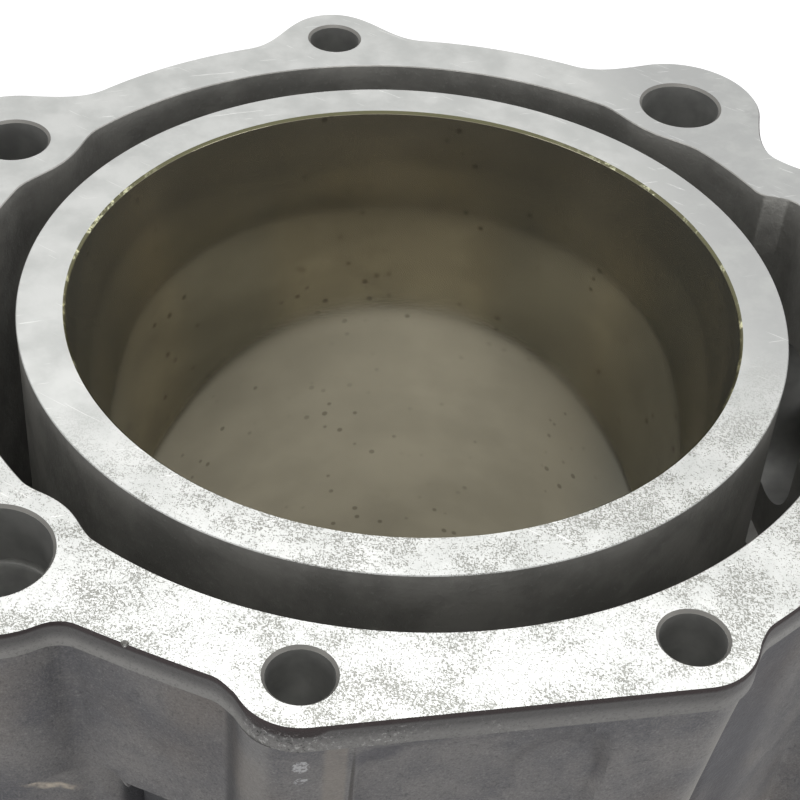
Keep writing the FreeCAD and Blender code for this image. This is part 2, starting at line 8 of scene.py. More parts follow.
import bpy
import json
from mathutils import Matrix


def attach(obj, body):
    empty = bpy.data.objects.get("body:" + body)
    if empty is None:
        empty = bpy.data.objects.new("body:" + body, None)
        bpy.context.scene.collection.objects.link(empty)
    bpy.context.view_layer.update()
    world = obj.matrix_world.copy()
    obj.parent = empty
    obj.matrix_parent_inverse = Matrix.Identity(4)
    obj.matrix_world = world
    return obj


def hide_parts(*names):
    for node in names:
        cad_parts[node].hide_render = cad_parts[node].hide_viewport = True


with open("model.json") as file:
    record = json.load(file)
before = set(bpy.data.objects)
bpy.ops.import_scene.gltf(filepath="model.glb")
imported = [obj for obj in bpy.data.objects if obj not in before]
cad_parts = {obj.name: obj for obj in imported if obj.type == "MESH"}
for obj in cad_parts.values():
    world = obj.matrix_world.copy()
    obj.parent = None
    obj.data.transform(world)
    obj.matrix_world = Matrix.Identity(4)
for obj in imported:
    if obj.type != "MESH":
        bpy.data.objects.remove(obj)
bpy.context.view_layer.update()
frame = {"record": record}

import json
import math

import bpy
import numpy as np
from mathutils import Matrix, Vector

NODE = "engine_cylinder"

# %% [markdown]
# ## Sizes
# The frame's record already states every hole, the bore and the port, so those sizes are read
# from it and only the cast outline is named here. Everything is in millimetres until the mesh
# is made, because that is how a foundry drawing is read.

# %% Sizes from the frame, in millimetres
MM = 0.001
mounts = {mount["name"]: mount for mount in frame["record"]["mounts"]}


def at(name):
    """The place of a mount in millimetres."""
    return np.array(mounts[name]["pos_m"]) / MM


def radius(name):
    """The radius of a round mount in millimetres."""
    return mounts[name]["dims"]["r_mm"]


DECK = at("deck")[2]
SPIGOT_END = at("spigot_end")[2]
BORE = radius("bore")
SPIGOT = radius("spigot")
STUDS = {  # place of each stud hole and radius of its boss
    "back_left": (at("stud_back_left"), 12.9),
    "back_right": (at("stud_back_right"), 13.2),
    "front_left": (at("stud_front_left"), 14.0),
    "front_right": (at("stud_front_right"), 13.6),
}
BACK_BOLT = at("bolt_back")
BOLT_HALF = mounts["bolts_front"]["dims"]["spacing_x_mm"] / 2
FRONT_BOLTS = [at("bolts_front") + [side * BOLT_HALF, 0, 0] for side in (-1, 1)]
PORT = at("coolant_port")
print("deck at", DECK, "bore", BORE)
print("studs", {name: place[:2].tolist() for name, (place, boss) in STUDS.items()})

# %% [markdown]
# ## Sizes of the casting
# These were measured in the photograph against the ring round the bore. They could stand in
# the formulas that use them, but one list is quicker to read and to change.

# %% Sizes of the casting
LINER = 54.85  # outside of the free-standing ring
JACKET = 63.0  # outer wall of the water jacket
JACKET_FORWARD = 0.8  # the jacket is centred a little to the front
JACKET_FLOOR = 18.0
ROUND = 71.0  # round part of the deck outline
ROUND_SHIFT = 0.6  # it is centred a little to the coolant side
BARREL = 69.2  # cast wall under it
SETBACK = 0.8  # cast wall behind the machined edge
FRONT_SETBACK = 0.4  # less than that at the front of the block
EDGE_LOW = DECK - 4.0  # underside of the machined edge
FILLET = 7.0  # between a boss and the round wall
FRONT_FILLET = 2.4  # where a web meets a stud or the block
BULGE_FILLET = 8.0  # where the bulge round the port meets the round wall
BULGE_CORNER = 5.5  # corner of the bulge under the deck
BACK_BOSS = 8.2  # radius round the back bolt hole
FRONT_BOSS = 8.0  # radius round a front bolt hole
COLUMN = 9.8  # back stud column inside the jacket
COLUMN_FILLET = 3.5  # where it meets the jacket's wall
FRONT_COLUMN = 11.35  # front left stud column inside the jacket, which needs a thicker wall
FRONT_COLUMN_FILLET = 1.0
WALL_FILLET = 1.6  # where a web meets a stud or the block under the deck
FRONT_PART = -ROUND / 3  # only what lies in front of this is blended with the front
BULGE = (77.0, 18.0, 8.0)  # reach, half width and corner of the bulge round the port
POCKET = (65.5, 12.25, 34.0)  # reach, half width and floor of the wide part of the jacket
POCKET_FLARE = 0.38  # its sides open out towards the bore by this slope
PORT_NOSE = (86.0, 14.0)  # face and radius of the port's boss
PAD_WALL = 3.5  # wall of the pad round the tall part of the port
PAD_START = POCKET[0] + 0.4  # inside the outer wall
PAD_CORNER = 5.0
CORNER = 0.8  # broken corner of the boss and the pad
NICK = (-43.4, -60.8)  # small chip in the edge of the deck
FLANGE_TOP = 11.0
FLANGE_ROUND = 71.0
FLANGE_CORNER = 14.5  # radius of the base flange round each stud
print("ring", round(LINER - BORE, 2), "mm thick, jacket", round(JACKET - LINER, 2), "mm wide")

# %% [markdown]
# ## Distances
# A wall like this is easiest to describe by its distance: a function that is zero on the wall,
# negative in the metal and positive outside. Circles and boxes have exact formulas, and two of
# them are joined with a fillet by rounding off the corner between their distances. The other
# way would be to draw every arc by hand and trim it, which breaks when a size changes.

# %% Distance helpers
FAR = 99.0  # the distance to a shape that isn't there


def disc(x, y, centre, size):
    """Distance to a circle: length to the centre less the radius."""
    return np.hypot(x - centre[0], y - centre[1]) - size


def plate(x, y, left, right, front, back, corner=0.0):
    """Distance to a rounded rectangle: how far a point is past the inset box, less the corner."""
    across = np.abs(x - (left + right) / 2) - (right - left) / 2 + corner
    along = np.abs(y - (front + back) / 2) - (back - front) / 2 + corner
    past = np.hypot(np.maximum(across, 0), np.maximum(along, 0))
    return past + np.minimum(np.maximum(across, along), 0) - corner


def blend(one, other, size):
    """Both shapes with a fillet between them: the lesser distance, less a round."""
    near_one, near_other = np.maximum(size - one, 0), np.maximum(size - other, 0)
    return np.maximum(size, np.minimum(one, other)) - np.hypot(near_one, near_other)


def carve(base, tool, size):
    """The base less the tool, with a rounded edge: a blend of the empty sides, turned back."""
    return -blend(-base, tool, size)


def between(z, low, high):
    """0 at the low height, 1 at the high one, and straight in between."""
    return np.clip((z - low) / (high - low), 0, 1)


def only(distance, keep):
    """The distance where a condition holds, and far away elsewhere."""
    return np.where(keep, distance, FAR)


print("a point 3 mm outside a circle of 5 mm:", disc(8.0, 0.0, (0, 0), 5.0))

# %% [markdown]
# ## Deck outline
# The deck is a disc with seven bosses, a bulge at the coolant side and a straight front between
# two webs. Each is a circle or a plate, blended in turn. A traced curve would fit as well, but
# it couldn't be read or changed.

# %% Deck outline
WEB_START = np.array([4.6, -9.8])  # from a front stud to the end of its web


def web_side(x, y, side, inset):
    """Distance to the slanting front of one web, from beside a stud to the block's corner."""
    stud = STUDS["front_left" if side < 0 else "front_right"][0]
    bolt = FRONT_BOLTS[0 if side < 0 else 1]
    start = stud[:2] + WEB_START * [-side, 1]
    end = bolt[:2] + [side * FRONT_BOSS, 0]
    run = (end - start) / np.linalg.norm(end - start)
    out = np.array([-side * run[1], side * run[0]])
    out = out if out[1] < 0 else -out
    return (x - start[0]) * out[0] + (y - start[1]) * out[1] + inset


def webs(x, y, inset):
    """The three-sided plate between the front studs: the greatest of its sides' distances."""
    front = FRONT_BOLTS[0][1] + inset - y
    sides = np.maximum(web_side(x, y, -1, inset), web_side(x, y, 1, inset))
    ends = np.abs(x) - abs(STUDS["front_right"][0][0]) + WEB_START[0]
    return np.maximum(np.maximum(front, sides), np.maximum(ends, y + ROUND / 2))


def deck_outline(x, y):
    """Distance to the outline of the deck: all its bosses and plates blended together."""
    shape = disc(x, y, (ROUND_SHIFT, 0), ROUND)
    bulge = plate(x, y, ROUND / 2, BULGE[0], PORT[1] - BULGE[1], PORT[1] + BULGE[1], BULGE[2])
    shape = blend(shape, bulge, BULGE_FILLET)
    block = plate(x, y, FRONT_BOLTS[0][0] - FRONT_BOSS, FRONT_BOLTS[1][0] + FRONT_BOSS,
                  FRONT_BOLTS[0][1] - FRONT_BOSS, -ROUND / 2, FRONT_BOSS)
    front = blend(webs(x, y, 0.0), block, FRONT_FILLET)
    for place, boss in STUDS.values():
        stud = disc(x, y, place, boss)
        if place[1] > 0:
            shape = blend(shape, stud, FILLET)
        else:
            front = blend(front, stud, FRONT_FILLET)
    shape = blend(shape, disc(x, y, BACK_BOLT, BACK_BOSS), FILLET)
    shape = np.where(y < FRONT_PART, blend(shape, front, FILLET), shape)
    return np.maximum(shape, FRONT_BOLTS[0][1] - FRONT_BOSS - y)


CORNER_POINT = np.array([-31.85, -70.0])  # on the outline where the left web ends
print("the web's end is off the outline by", round(float(deck_outline(*CORNER_POINT)), 2), "mm")

# %% [markdown]
# ## Cast wall
# Below its machined edge the casting stands back a little. The block, the webs, the lug at the
# back and the bulge lean into the barrel as they run down, so that the mould comes off, and the
# wall's outline is worked out at each height. A loft between a few drawn outlines goes wrong
# where a pocket starts between two of them.

# %% Sizes of the cast wall
WALL_TOP = DECK - 2.0  # the height at which the leaning parts have their full size
BLOCK_LOW = 38.0  # under the front block, where its foot begins
BLOCK_FOOT = 22.0  # lower end of that foot
BLOCK_DRAFT = math.tan(math.radians(6.7))  # lean of the block's right side
BLOCK_LEAN = math.tan(math.radians(4.0))  # lean of its front
BLOCK_BACK = -ROUND * 0.75  # inside the barrel
BLOCK_CORNER = 6.0
# left, right and front of the foot: the place at its lower end, and the growth up to its top
FOOT_SIDES = ((-15.85, -8.0), (11.15, 6.85), (-63.2, -8.1))
WEB_DRAFT = math.tan(math.radians(5.0))
BULGE_LOW = 32.0
BULGE_FOOT = (65.2, 12.0)  # reach and half width of the bulge at its lower end
LUG_LOW = 56.0
LUG_FOOT = (63.2, 3.0)  # place and radius of the back lug at its lower end
LUG_GROWTH = 4.4  # how much its radius grows up to the deck
RECESS_LEFT, RECESS_RIGHT = -18.2, 13.2
RECESS_LOW, RECESS_TOP = 44.0, DECK - 6.5
RECESS_CORNER = 6.0
RECESS_SINK = 1.0
WEB_ANGLE = math.atan2(-13.3, 22.95)  # direction of the left web's face
WEB_POCKET = (-11.0, 1.0, 29.5, 62.7)  # its left, right, low and high side, in that face
WEB_POCKET_CORNER = 4.6
WEB_POCKET_FLOOR = 66.6  # from the bore's axis, across the web
FLAT_HALF, FLAT_LOW, FLAT_TOP = 14.0, 18.0, 63.5
FLAT_CORNER = 2.0
FLAT_DEPTH = 10.5  # from the stud's axis to the flat
RECESS_EDGE, CUT_EDGE, FLANGE_EDGE = 0.6, 0.8, 1.0  # how round the cast edges are
FLANGE_FILLET = 2.5  # where the wall meets the flange
THIN = 0.01  # a fillet too small to see, because a blend needs more than nothing
print("block from", BLOCK_FOOT, "mm, bulge from", BULGE_LOW, "mm, lug from", LUG_LOW, "mm up")

# %% Block and pockets


def block_sides(z):
    """Left, right and front of the leaning block at a height, or of its foot below it."""
    fall = WALL_TOP - z
    left = FRONT_BOLTS[0][0] - FRONT_BOSS + SETBACK / 2
    right = FRONT_BOLTS[1][0] + FRONT_BOSS - SETBACK - fall * BLOCK_DRAFT
    front = FRONT_BOLTS[0][1] - FRONT_BOSS + FRONT_SETBACK + fall * BLOCK_LEAN
    foot = between(z, BLOCK_FOOT, BLOCK_LOW)
    return [np.where(z < BLOCK_LOW, low + growth * foot, side)
            for (low, growth), side in zip(FOOT_SIDES, (left, right, front))]


def recess(x, y, z):
    """The shallow panel sunk into the front face: a rounded rectangle that narrows downwards."""
    left, right, front = block_sides(z)
    side = RECESS_RIGHT - (RECESS_TOP - z) * BLOCK_DRAFT
    outline = plate(x, z, RECESS_LEFT, side, RECESS_LOW, RECESS_TOP, RECESS_CORNER)
    return np.maximum(outline, y - front - RECESS_SINK)


def web_pocket(x, y, z):
    """The pocket in the left web: a rounded rectangle in the web's own face, down to a floor."""
    along = x * math.cos(WEB_ANGLE) + y * math.sin(WEB_ANGLE)
    out = -x * math.sin(WEB_ANGLE) + y * math.cos(WEB_ANGLE)
    return np.maximum(plate(along, z, *WEB_POCKET, WEB_POCKET_CORNER), out + WEB_POCKET_FLOOR)


def stud_flat(x, y, z):
    """The flat down the front left column: all that is in front of one plane, over a stretch."""
    stud = STUDS["front_left"][0]
    box = plate(x, z, stud[0] - FLAT_HALF, stud[0] + FLAT_HALF, FLAT_LOW, FLAT_TOP, FLAT_CORNER)
    return np.maximum(box, y - stud[1] + FLAT_DEPTH)


print("sides of the block half way up", [round(float(side), 1) for side in block_sides(60.0)])

# %% Cast wall


def flange(x, y):
    """Outline of the base flange: a rounded rectangle round the studs, blended with a disc."""
    reach = abs(STUDS["front_right"][0][0]) + FLANGE_CORNER
    bars = plate(x, y, -reach, reach, STUDS["front_left"][0][1] - FLANGE_CORNER,
                 STUDS["back_left"][0][1] + FLANGE_CORNER, FLANGE_CORNER)
    return np.maximum(blend(bars, disc(x, y, (0, 0), FLANGE_ROUND), FILLET), np.abs(x) - reach)


def wall(x, y, z):
    """Distance to the cast wall at a height: barrel, columns, block, webs, lug, bulge, flange."""
    shape = disc(x, y, (0, 0), BARREL)
    rise = between(z, BULGE_LOW, WALL_TOP)
    reach = BULGE_FOOT[0] + rise * (BULGE[0] - SETBACK - BULGE_FOOT[0])
    half = BULGE_FOOT[1] + rise * (BULGE[1] - SETBACK - BULGE_FOOT[1])
    bulge = plate(x, y, ROUND / 2, reach, PORT[1] - half, PORT[1] + half, BULGE_CORNER)
    shape = blend(shape, only(bulge, z > BULGE_LOW), BULGE_FILLET)
    left, right, front = block_sides(z)
    block = plate(x, y, left, right, front, BLOCK_BACK, BLOCK_CORNER)
    block = only(block, z > BLOCK_FOOT)
    web = only(webs(x, y, SETBACK + (WALL_TOP - z) * WEB_DRAFT), z > BLOCK_LOW)
    ahead = blend(web, block, WALL_FILLET)
    for place, boss in STUDS.values():
        column = disc(x, y, place, boss - SETBACK)
        if place[1] > 0:
            shape = blend(shape, column, FILLET)
        else:
            ahead = blend(ahead, column, WALL_FILLET)
    rise = between(z, LUG_LOW, WALL_TOP)
    middle = LUG_FOOT[0] + rise * (BACK_BOLT[1] - LUG_FOOT[0])
    lug = disc(x, y, (0, middle), LUG_FOOT[1] + rise * LUG_GROWTH)
    shape = blend(shape, only(lug, z > LUG_LOW), FILLET * rise + THIN)
    shape = np.where(y < FRONT_PART, blend(shape, ahead, FILLET), shape)
    shape = carve(shape, recess(x, y, z), RECESS_EDGE)
    shape = carve(shape, web_pocket(x, y, z), CUT_EDGE)
    shape = carve(shape, stud_flat(x, y, z), CUT_EDGE)
    base = carve(flange(x, y), FLANGE_TOP - z, FLANGE_EDGE)
    return blend(shape, base, FLANGE_FILLET)


print("wall at the front, half way up, is off the block's front by",
      round(float(wall(0.0, block_sides(60.0)[2], 60.0)), 2), "mm")

# %% [markdown]
# ## Water jacket
# The jacket is the hollow between the bore ring and the outer wall. It is wider towards the
# port, and three stud columns stand in its outer wall. It could be cut as a second mesh, but
# here both walls share the same lines. Its outline draws in as it nears the rounded floor.

# %% Jacket hollow
FLOOR_FILLET = 2.0
POCKET_CORNER = 2.5  # outer corners of the wide part
POCKET_FILLET = 1.0  # where the wide part meets the round


def hollow(x, y, z):
    """Distance to the jacket's outer side at a height; negative in the hollow."""
    ring = disc(x, y, (0, -JACKET_FORWARD), JACKET)
    sides = np.abs(y - PORT[1]) - POCKET[1] - (POCKET[0] - x) * POCKET_FLARE
    wide = -blend(-(x - POCKET[0]), -sides, POCKET_CORNER)
    wide = only(np.maximum(wide, ROUND / 2 - x), z > POCKET[2])
    shape = blend(ring, wide, POCKET_FILLET)
    for name in ("back_left", "back_right"):
        shape = carve(shape, disc(x, y, STUDS[name][0], COLUMN), COLUMN_FILLET)
    front_column = disc(x, y, STUDS["front_left"][0], FRONT_COLUMN)
    shape = carve(shape, front_column, FRONT_COLUMN_FILLET)
    low = np.clip(JACKET_FLOOR + FLOOR_FILLET - z, 0, FLOOR_FILLET)
    return shape + FLOOR_FILLET - np.sqrt(FLOOR_FILLET**2 - low**2)


print("the jacket is", DECK - JACKET_FLOOR, "mm deep, its wide part", DECK - POCKET[2], "mm")

# %% [markdown]
# ## Lines across the deck
# Every point of the outline is joined to the bore ring by one straight line, and each wall is
# found where it crosses these lines. Plain spokes from the bore axis would bunch up where the
# outline runs nearly towards the axis, as at the sides of the front block, so the points are
# spaced evenly along the outline and their directions are smoothed.

# %% Where a line enters a shape
MARKS, HALVINGS = 90, 12


def crossing(shape, start, end):
    """Share of the way from start to end at which each line first enters a shape.
    Even marks find the first one inside, and repeated halving places the crossing."""
    share = np.linspace(0, 1, MARKS)
    inside = shape(start[..., None, :] + (end - start)[..., None, :] * share[:, None]) < 0
    first = np.maximum(inside.argmax(-1), 1)
    low, high = share[first - 1], share[first]
    for _ in range(HALVINGS):
        middle = (low + high) / 2
        hit = shape(start + (end - start) * middle[..., None]) < 0
        high, low = np.where(hit, middle, high), np.where(hit, low, middle)
    return high


print("a crossing is found to one part in", MARKS * 2**HALVINGS, "of its line")

# %% Outline points and lines
COLUMNS = 800  # lines round the cylinder
SPOKES = 7200  # fine steps to trace the outline by
OUTSIDE, INSIDE = 95.0, 40.0  # radii that the whole outline lies between
SMOOTHING = 16.0  # how many neighbours the directions are evened out over

turn = np.linspace(0, 2 * np.pi, SPOKES, endpoint=False)
spoke = np.stack([np.cos(turn), np.sin(turn)], -1)
share = crossing(lambda p: deck_outline(p[..., 0], p[..., 1]), spoke * OUTSIDE, spoke * INSIDE)
trace = spoke * (OUTSIDE - (OUTSIDE - INSIDE) * share)[:, None]
closed = np.vstack([trace, trace[:1]])
length = np.concatenate([[0], np.cumsum(np.linalg.norm(np.diff(closed, axis=0), axis=1))])
even = np.linspace(0, length[-1], COLUMNS, endpoint=False)
outline = np.stack([np.interp(even, length, closed[:, axis]) for axis in (0, 1)], -1)
heading = np.unwrap(np.arctan2(outline[:, 1], outline[:, 0]))
trend = np.linspace(0, 2 * np.pi, COLUMNS, endpoint=False)
offset = heading - heading[0] - trend
apart = np.minimum(np.arange(COLUMNS), COLUMNS - np.arange(COLUMNS))
spread = np.exp(-0.5 * (apart / SMOOTHING) ** 2)
smooth = np.fft.ifft(np.fft.fft(offset) * np.fft.fft(spread / spread.sum())).real
heading = smooth + heading[0] + trend
ring_way = np.stack([np.cos(heading), np.sin(heading)], -1)
inner = ring_way * LINER
inward = (inner - outline) / np.linalg.norm(inner - outline, axis=1)[:, None]
print("outline length", round(length[-1], 1), "mm, spacing", round(length[-1] / COLUMNS, 2), "mm")

# %% [markdown]
# ## One closed surface
# The rows of the grid go once round the section: up the outside from the base face, over the
# deck, down the jacket and up the ring, down the bore and back along the spigot. Each row also
# names its finish. Separate tubes would have to be joined, while one grid that closes on itself
# is a solid from the start.

# %% Rows and finishes
CAST, MACHINED, EDGE, WET, PLATED, DRILLED, RIM = range(7)
rows, finishes = [], []


def add(points, z, finish):
    """Adds one row of points at a height; the finish is that of the strip up to this row."""
    rows.append(np.column_stack([points, np.broadcast_to(z, len(points))]))
    finishes.append(finish)


print("finishes are numbered", CAST, "to", RIM)

# %% [markdown]
# ## Outer wall
# A sand-cast wall is never quite even. Waves in random directions are added up and go inwards
# only, so the part keeps its size. A bump in the paint would leave the outline ruled straight.

# %% Unevenness of the cast wall
WAVES = 40
WAVE_LENGTHS = (5.0, 22.0)  # shortest and longest wave in mm
WAVE_DEPTH = 0.12  # mean depth in mm
rng = np.random.default_rng(7)
waves = rng.normal(size=(WAVES, 3))
waves *= (2 * np.pi / rng.uniform(*WAVE_LENGTHS, WAVES) / np.linalg.norm(waves, axis=1))[:, None]
phases = rng.uniform(0, 2 * np.pi, WAVES)


def unevenness(points):
    """Depth of the unevenness in mm: the waves added up, and held between 0 and twice the mean."""
    height = np.sin(points @ waves.T + phases).sum(-1) / math.sqrt(WAVES)
    return WAVE_DEPTH * (1 + np.tanh(height))


print("depth of the unevenness at three points", unevenness(np.eye(3) * ROUND).round(3))

# %% Rows of the outer wall
OUTSET = 16.0  # how far outside the deck each line starts
BREAK = 0.3  # broken corner of the deck's edge
WALL_ROWS = np.concatenate([
    [0.0, 0.3, 5.0, 9.9, 10.3, 10.7, 10.9, 10.99, 11.02, 11.2, 11.5, 12.0, 12.7, 13.5],
    np.arange(15.0, EDGE_LOW - 1, 1.5), [BLOCK_LOW - 0.1, BLOCK_LOW + 0.1, EDGE_LOW],
])
WALL_ROWS = np.sort(WALL_ROWS)
outer = outline - inward * OUTSET
for z in WALL_ROWS:
    share = crossing(lambda p: wall(p[..., 0], p[..., 1], z), outer, inner)
    points = outer + (inner - outer) * share[:, None]
    if FLANGE_TOP < z < EDGE_LOW:
        places = np.column_stack([points, np.full(len(points), z)])
        points = points + inward * unevenness(places)[:, None]
    add(points, z, CAST)
add(outline, EDGE_LOW, CAST)
add(outline, EDGE_LOW + 0.2, EDGE)
add(outline, DECK - BREAK, EDGE)
add(outline + inward * BREAK, DECK, EDGE)
print("rows up to the deck", len(rows))

# %% [markdown]
# ## Deck and jacket
# The deck is a flat strip between its outer edge and the mouth of the jacket, and the jacket's
# outer wall runs down from there. Filling the deck as one flat face is the other way, and
# shades badly.

# %% Rows of the deck and the jacket
MOUTH_EDGE = 0.15  # broken corner at the mouth of the jacket
JACKET_ROWS = (DECK - MOUTH_EDGE, 80.0, 66.0, 50.0, POCKET[2] + 0.1, POCKET[2] - 0.1,
               26.0, 20.0, 19.2, 18.6, 18.25, 18.05)


def jacket_row(z):
    """The points where the lines leave the hollow at a height."""
    share = crossing(lambda p: -hollow(p[..., 0], p[..., 1], z), inner, outline)
    return inner + (outline - inner) * share[:, None]


mouth = jacket_row(DECK)
for share in (0.02, 0.5, 0.98):
    add(outline + inward * BREAK + (mouth - outline - inward * BREAK) * share, DECK, MACHINED)
add(mouth - inward * MOUTH_EDGE, DECK, MACHINED)
for z in (*JACKET_ROWS, JACKET_FLOOR):
    add(jacket_row(z), z, WET)
print("rows down to the floor of the jacket", len(rows))

# %% [markdown]
# ## Ring, bore and spigot
# These are turned on the real part, so each row is a true circle, and the list reads like the
# tool's path: a radius, a height and the finish up to there. The last row closes the grid.

# %% Rings of the bore
RING_ROWS = [
    (LINER, JACKET_FLOOR, WET), (LINER, 40.0, WET), (LINER, 70.0, WET), (LINER, DECK - 0.12, WET),
    (LINER - 0.12, DECK, MACHINED), (LINER - 0.6, DECK, MACHINED), (BORE + 1.4, DECK, MACHINED),
    (BORE + 0.4, DECK, MACHINED), (BORE + 0.02, DECK - 0.4, RIM), (BORE, DECK - 0.46, PLATED),
    (BORE, 60.0, PLATED), (BORE, 20.0, PLATED), (BORE, SPIGOT_END + 2.0, PLATED),
    (BORE + 2.0, SPIGOT_END, MACHINED), (SPIGOT - 1.2, SPIGOT_END, MACHINED),
    (SPIGOT, SPIGOT_END + 1.2, MACHINED), (SPIGOT, -8.0, MACHINED), (SPIGOT, 0.0, MACHINED),
]
for size, z, finish in RING_ROWS:
    add(ring_way * size, z, finish)
base_face = rows[0]
add(ring_way * SPIGOT * 0.02 + base_face[:, :2] * 0.98, 0.0, MACHINED)
print("rows in all", len(rows))

# %% [markdown]
# ## Mesh of the casting
# Each square of the grid joins four neighbours, and the last row and column join the first, so
# the mesh has no open edge. Its volume is the test: an inside-out mesh has a negative one.

# %% Mesh from the rows


def grid_mesh(name, rows, finishes):
    """A mesh from rows of points, closed both ways: each square joins four neighbours."""
    points = np.array(rows)
    count, width = points.shape[:2]
    index = np.arange(count * width).reshape(count, width)
    beside, above = np.roll(index, -1, 1), np.roll(index, -1, 0)
    faces = np.stack([index, beside, np.roll(beside, -1, 0), above], -1).reshape(-1, 4)
    mesh = bpy.data.meshes.new(name)
    mesh.from_pydata((points.reshape(-1, 3) * MM).tolist(), [], faces.tolist())
    strip = np.repeat(np.roll(finishes, -1), width).astype(np.int32)
    mesh.polygons.foreach_set("material_index", strip)
    mesh.update()
    return mesh


def volume(mesh):
    """Volume in cubic centimetres: a sixth of each triangle's corners multiplied together."""
    mesh.calc_loop_triangles()
    corners = np.zeros(len(mesh.loop_triangles) * 3, np.int32)
    mesh.loop_triangles.foreach_get("vertices", corners)
    places = np.zeros(len(mesh.vertices) * 3)
    mesh.vertices.foreach_get("co", places)
    a, b, c = places.reshape(-1, 3)[corners.reshape(-1, 3)].transpose(1, 0, 2)
    return float(np.einsum("ij,ij->i", a, np.cross(b, c)).sum() / 6 * 1e6)


casting_mesh = grid_mesh("casting", rows, finishes)
print("volume", round(volume(casting_mesh), 1), "cm3, faces", len(casting_mesh.polygons))
if volume(casting_mesh) < 0:
    casting_mesh.flip_normals()

# %% [markdown]
# ## Holes and the port
# Holes are turned shapes: a profile of radius and height taken round an axis. They are cut from
# the casting with an exact boolean, so their rims are true circles on the flat deck. Bending
# the grid round each hole would stretch its squares. The port's boss and pad are added first.

# %% Turned shapes
AROUND = 96  # points round a turned shape
ANGLE = (np.arange(AROUND) + 0.5) * 2 * np.pi / AROUND


def loft(rings):
    """Points and faces of a closed shape through rings of points, with a cap on both ends."""
    points = np.array(rings)
    index = np.arange(points.shape[0] * AROUND).reshape(-1, AROUND)
    beside = np.roll(index, -1, 1)
    faces = np.stack([index[:-1], beside[:-1], beside[1:], index[1:]], -1).reshape(-1, 4).tolist()
    faces += [index[0][::-1].tolist(), index[-1].tolist()]
    return points.reshape(-1, 3), faces


def turned(profile, centre):
    """A shape turned round an upright axis: each radius and height of the profile is a ring."""
    rings = [np.column_stack([size * np.cos(ANGLE), size * np.sin(ANGLE), np.full(AROUND, z)])
             for size, z in profile]
    return loft([ring + centre for ring in rings])


def slot_ring(x, half_width, half_height, corner):
    """A rounded rectangle round the port's axis: a circle of the corner's size, pushed outwards
    by what is left of the half width and half height. With no straight part it is a circle."""
    y = corner * np.cos(ANGLE) + np.sign(np.cos(ANGLE)) * (half_width - corner)
    z = corner * np.sin(ANGLE) + np.sign(np.sin(ANGLE)) * (half_height - corner)
    return np.column_stack([np.full(AROUND, x), PORT[1] + y, PORT[2] + z])


def solid(name, parts, finish):
    """One mesh object from turned shapes, with one finish."""
    points, faces = [], []
    for part_points, part_faces in parts:
        base = sum(len(chunk) for chunk in points)
        points.append(part_points)
        faces += [[corner + base for corner in face] for face in part_faces]
    mesh = bpy.data.meshes.new(name)
    mesh.from_pydata((np.vstack(points) * MM).tolist(), [], faces)
    mesh.polygons.foreach_set("material_index", np.full(len(faces), finish, np.int32))
    mesh.update()
    item = bpy.data.objects.new(name, mesh)
    bpy.context.scene.collection.objects.link(item)
    return item


print("points round a hole", AROUND)

# %% [markdown]
# ### Stud and bolt holes
# Four stud holes go right through, two of them with a seat for a dowel, and three bolt holes
# end inside. The tool opens as a cone above the deck and so chamfers each mouth. A bevel on the
# finished mesh would catch other edges too.

# %% Stud and bolt holes
CHAMFER = 0.4
SPREAD, ABOVE = 1.4, 1.0  # the cone's growth and its end above the deck
BELOW = -1.0  # where a through hole's tool ends
BOLT_DEPTH = 13.0
SEAT_DEPTH = 10.0
SEAT_STEP = (0.3, 0.5)  # width and height of the cone under a seat


def hole(size, depth=None):
    """Profile of a hole with a chamfered mouth, to a depth or right through."""
    low = BELOW if depth is None else DECK - depth
    return [(size, low), (size, DECK - CHAMFER), (size + SPREAD, DECK + ABOVE)]


def stepped(size, seat):
    """Profile of a stud hole with a dowel seat in its mouth."""
    width, height = SEAT_STEP
    return [(size, BELOW), (size, DECK - SEAT_DEPTH - height), (size + width, DECK - SEAT_DEPTH),
            *hole(seat, SEAT_DEPTH)]


HOLES = [(hole(radius("stud_back_left")), at("stud_back_left")),
         (stepped(radius("stud_back_right"), radius("dowel_back_right")), at("stud_back_right")),
         (stepped(radius("stud_front_left"), radius("dowel_front_left")), at("stud_front_left")),
         (hole(radius("stud_front_right")), at("stud_front_right")),
         (hole(radius("bolt_back"), BOLT_DEPTH), BACK_BOLT)]
FRONT_HOLE = mounts["bolts_front"]["dims"]["hole_r_mm"]
HOLES += [(hole(FRONT_HOLE, BOLT_DEPTH), place) for place in FRONT_BOLTS]
parts = [turned(profile, [*place[:2], 0.0]) for profile, place in HOLES]
NICK_CONE = [(0.1, DECK - 0.6), (0.8, DECK + 0.4)]
parts.append(turned(NICK_CONE, [*NICK, 0.0]))
print("holes", len(HOLES), "and one chip")

# %% [markdown]
# ### Coolant port
# Water enters the jacket through a tall mouth with a pad of metal round it, and outside the
# port ends round. All of them are lofts along its axis, from one rounded rectangle to the next.
# Cylinders and boxes would need a boolean for every corner.

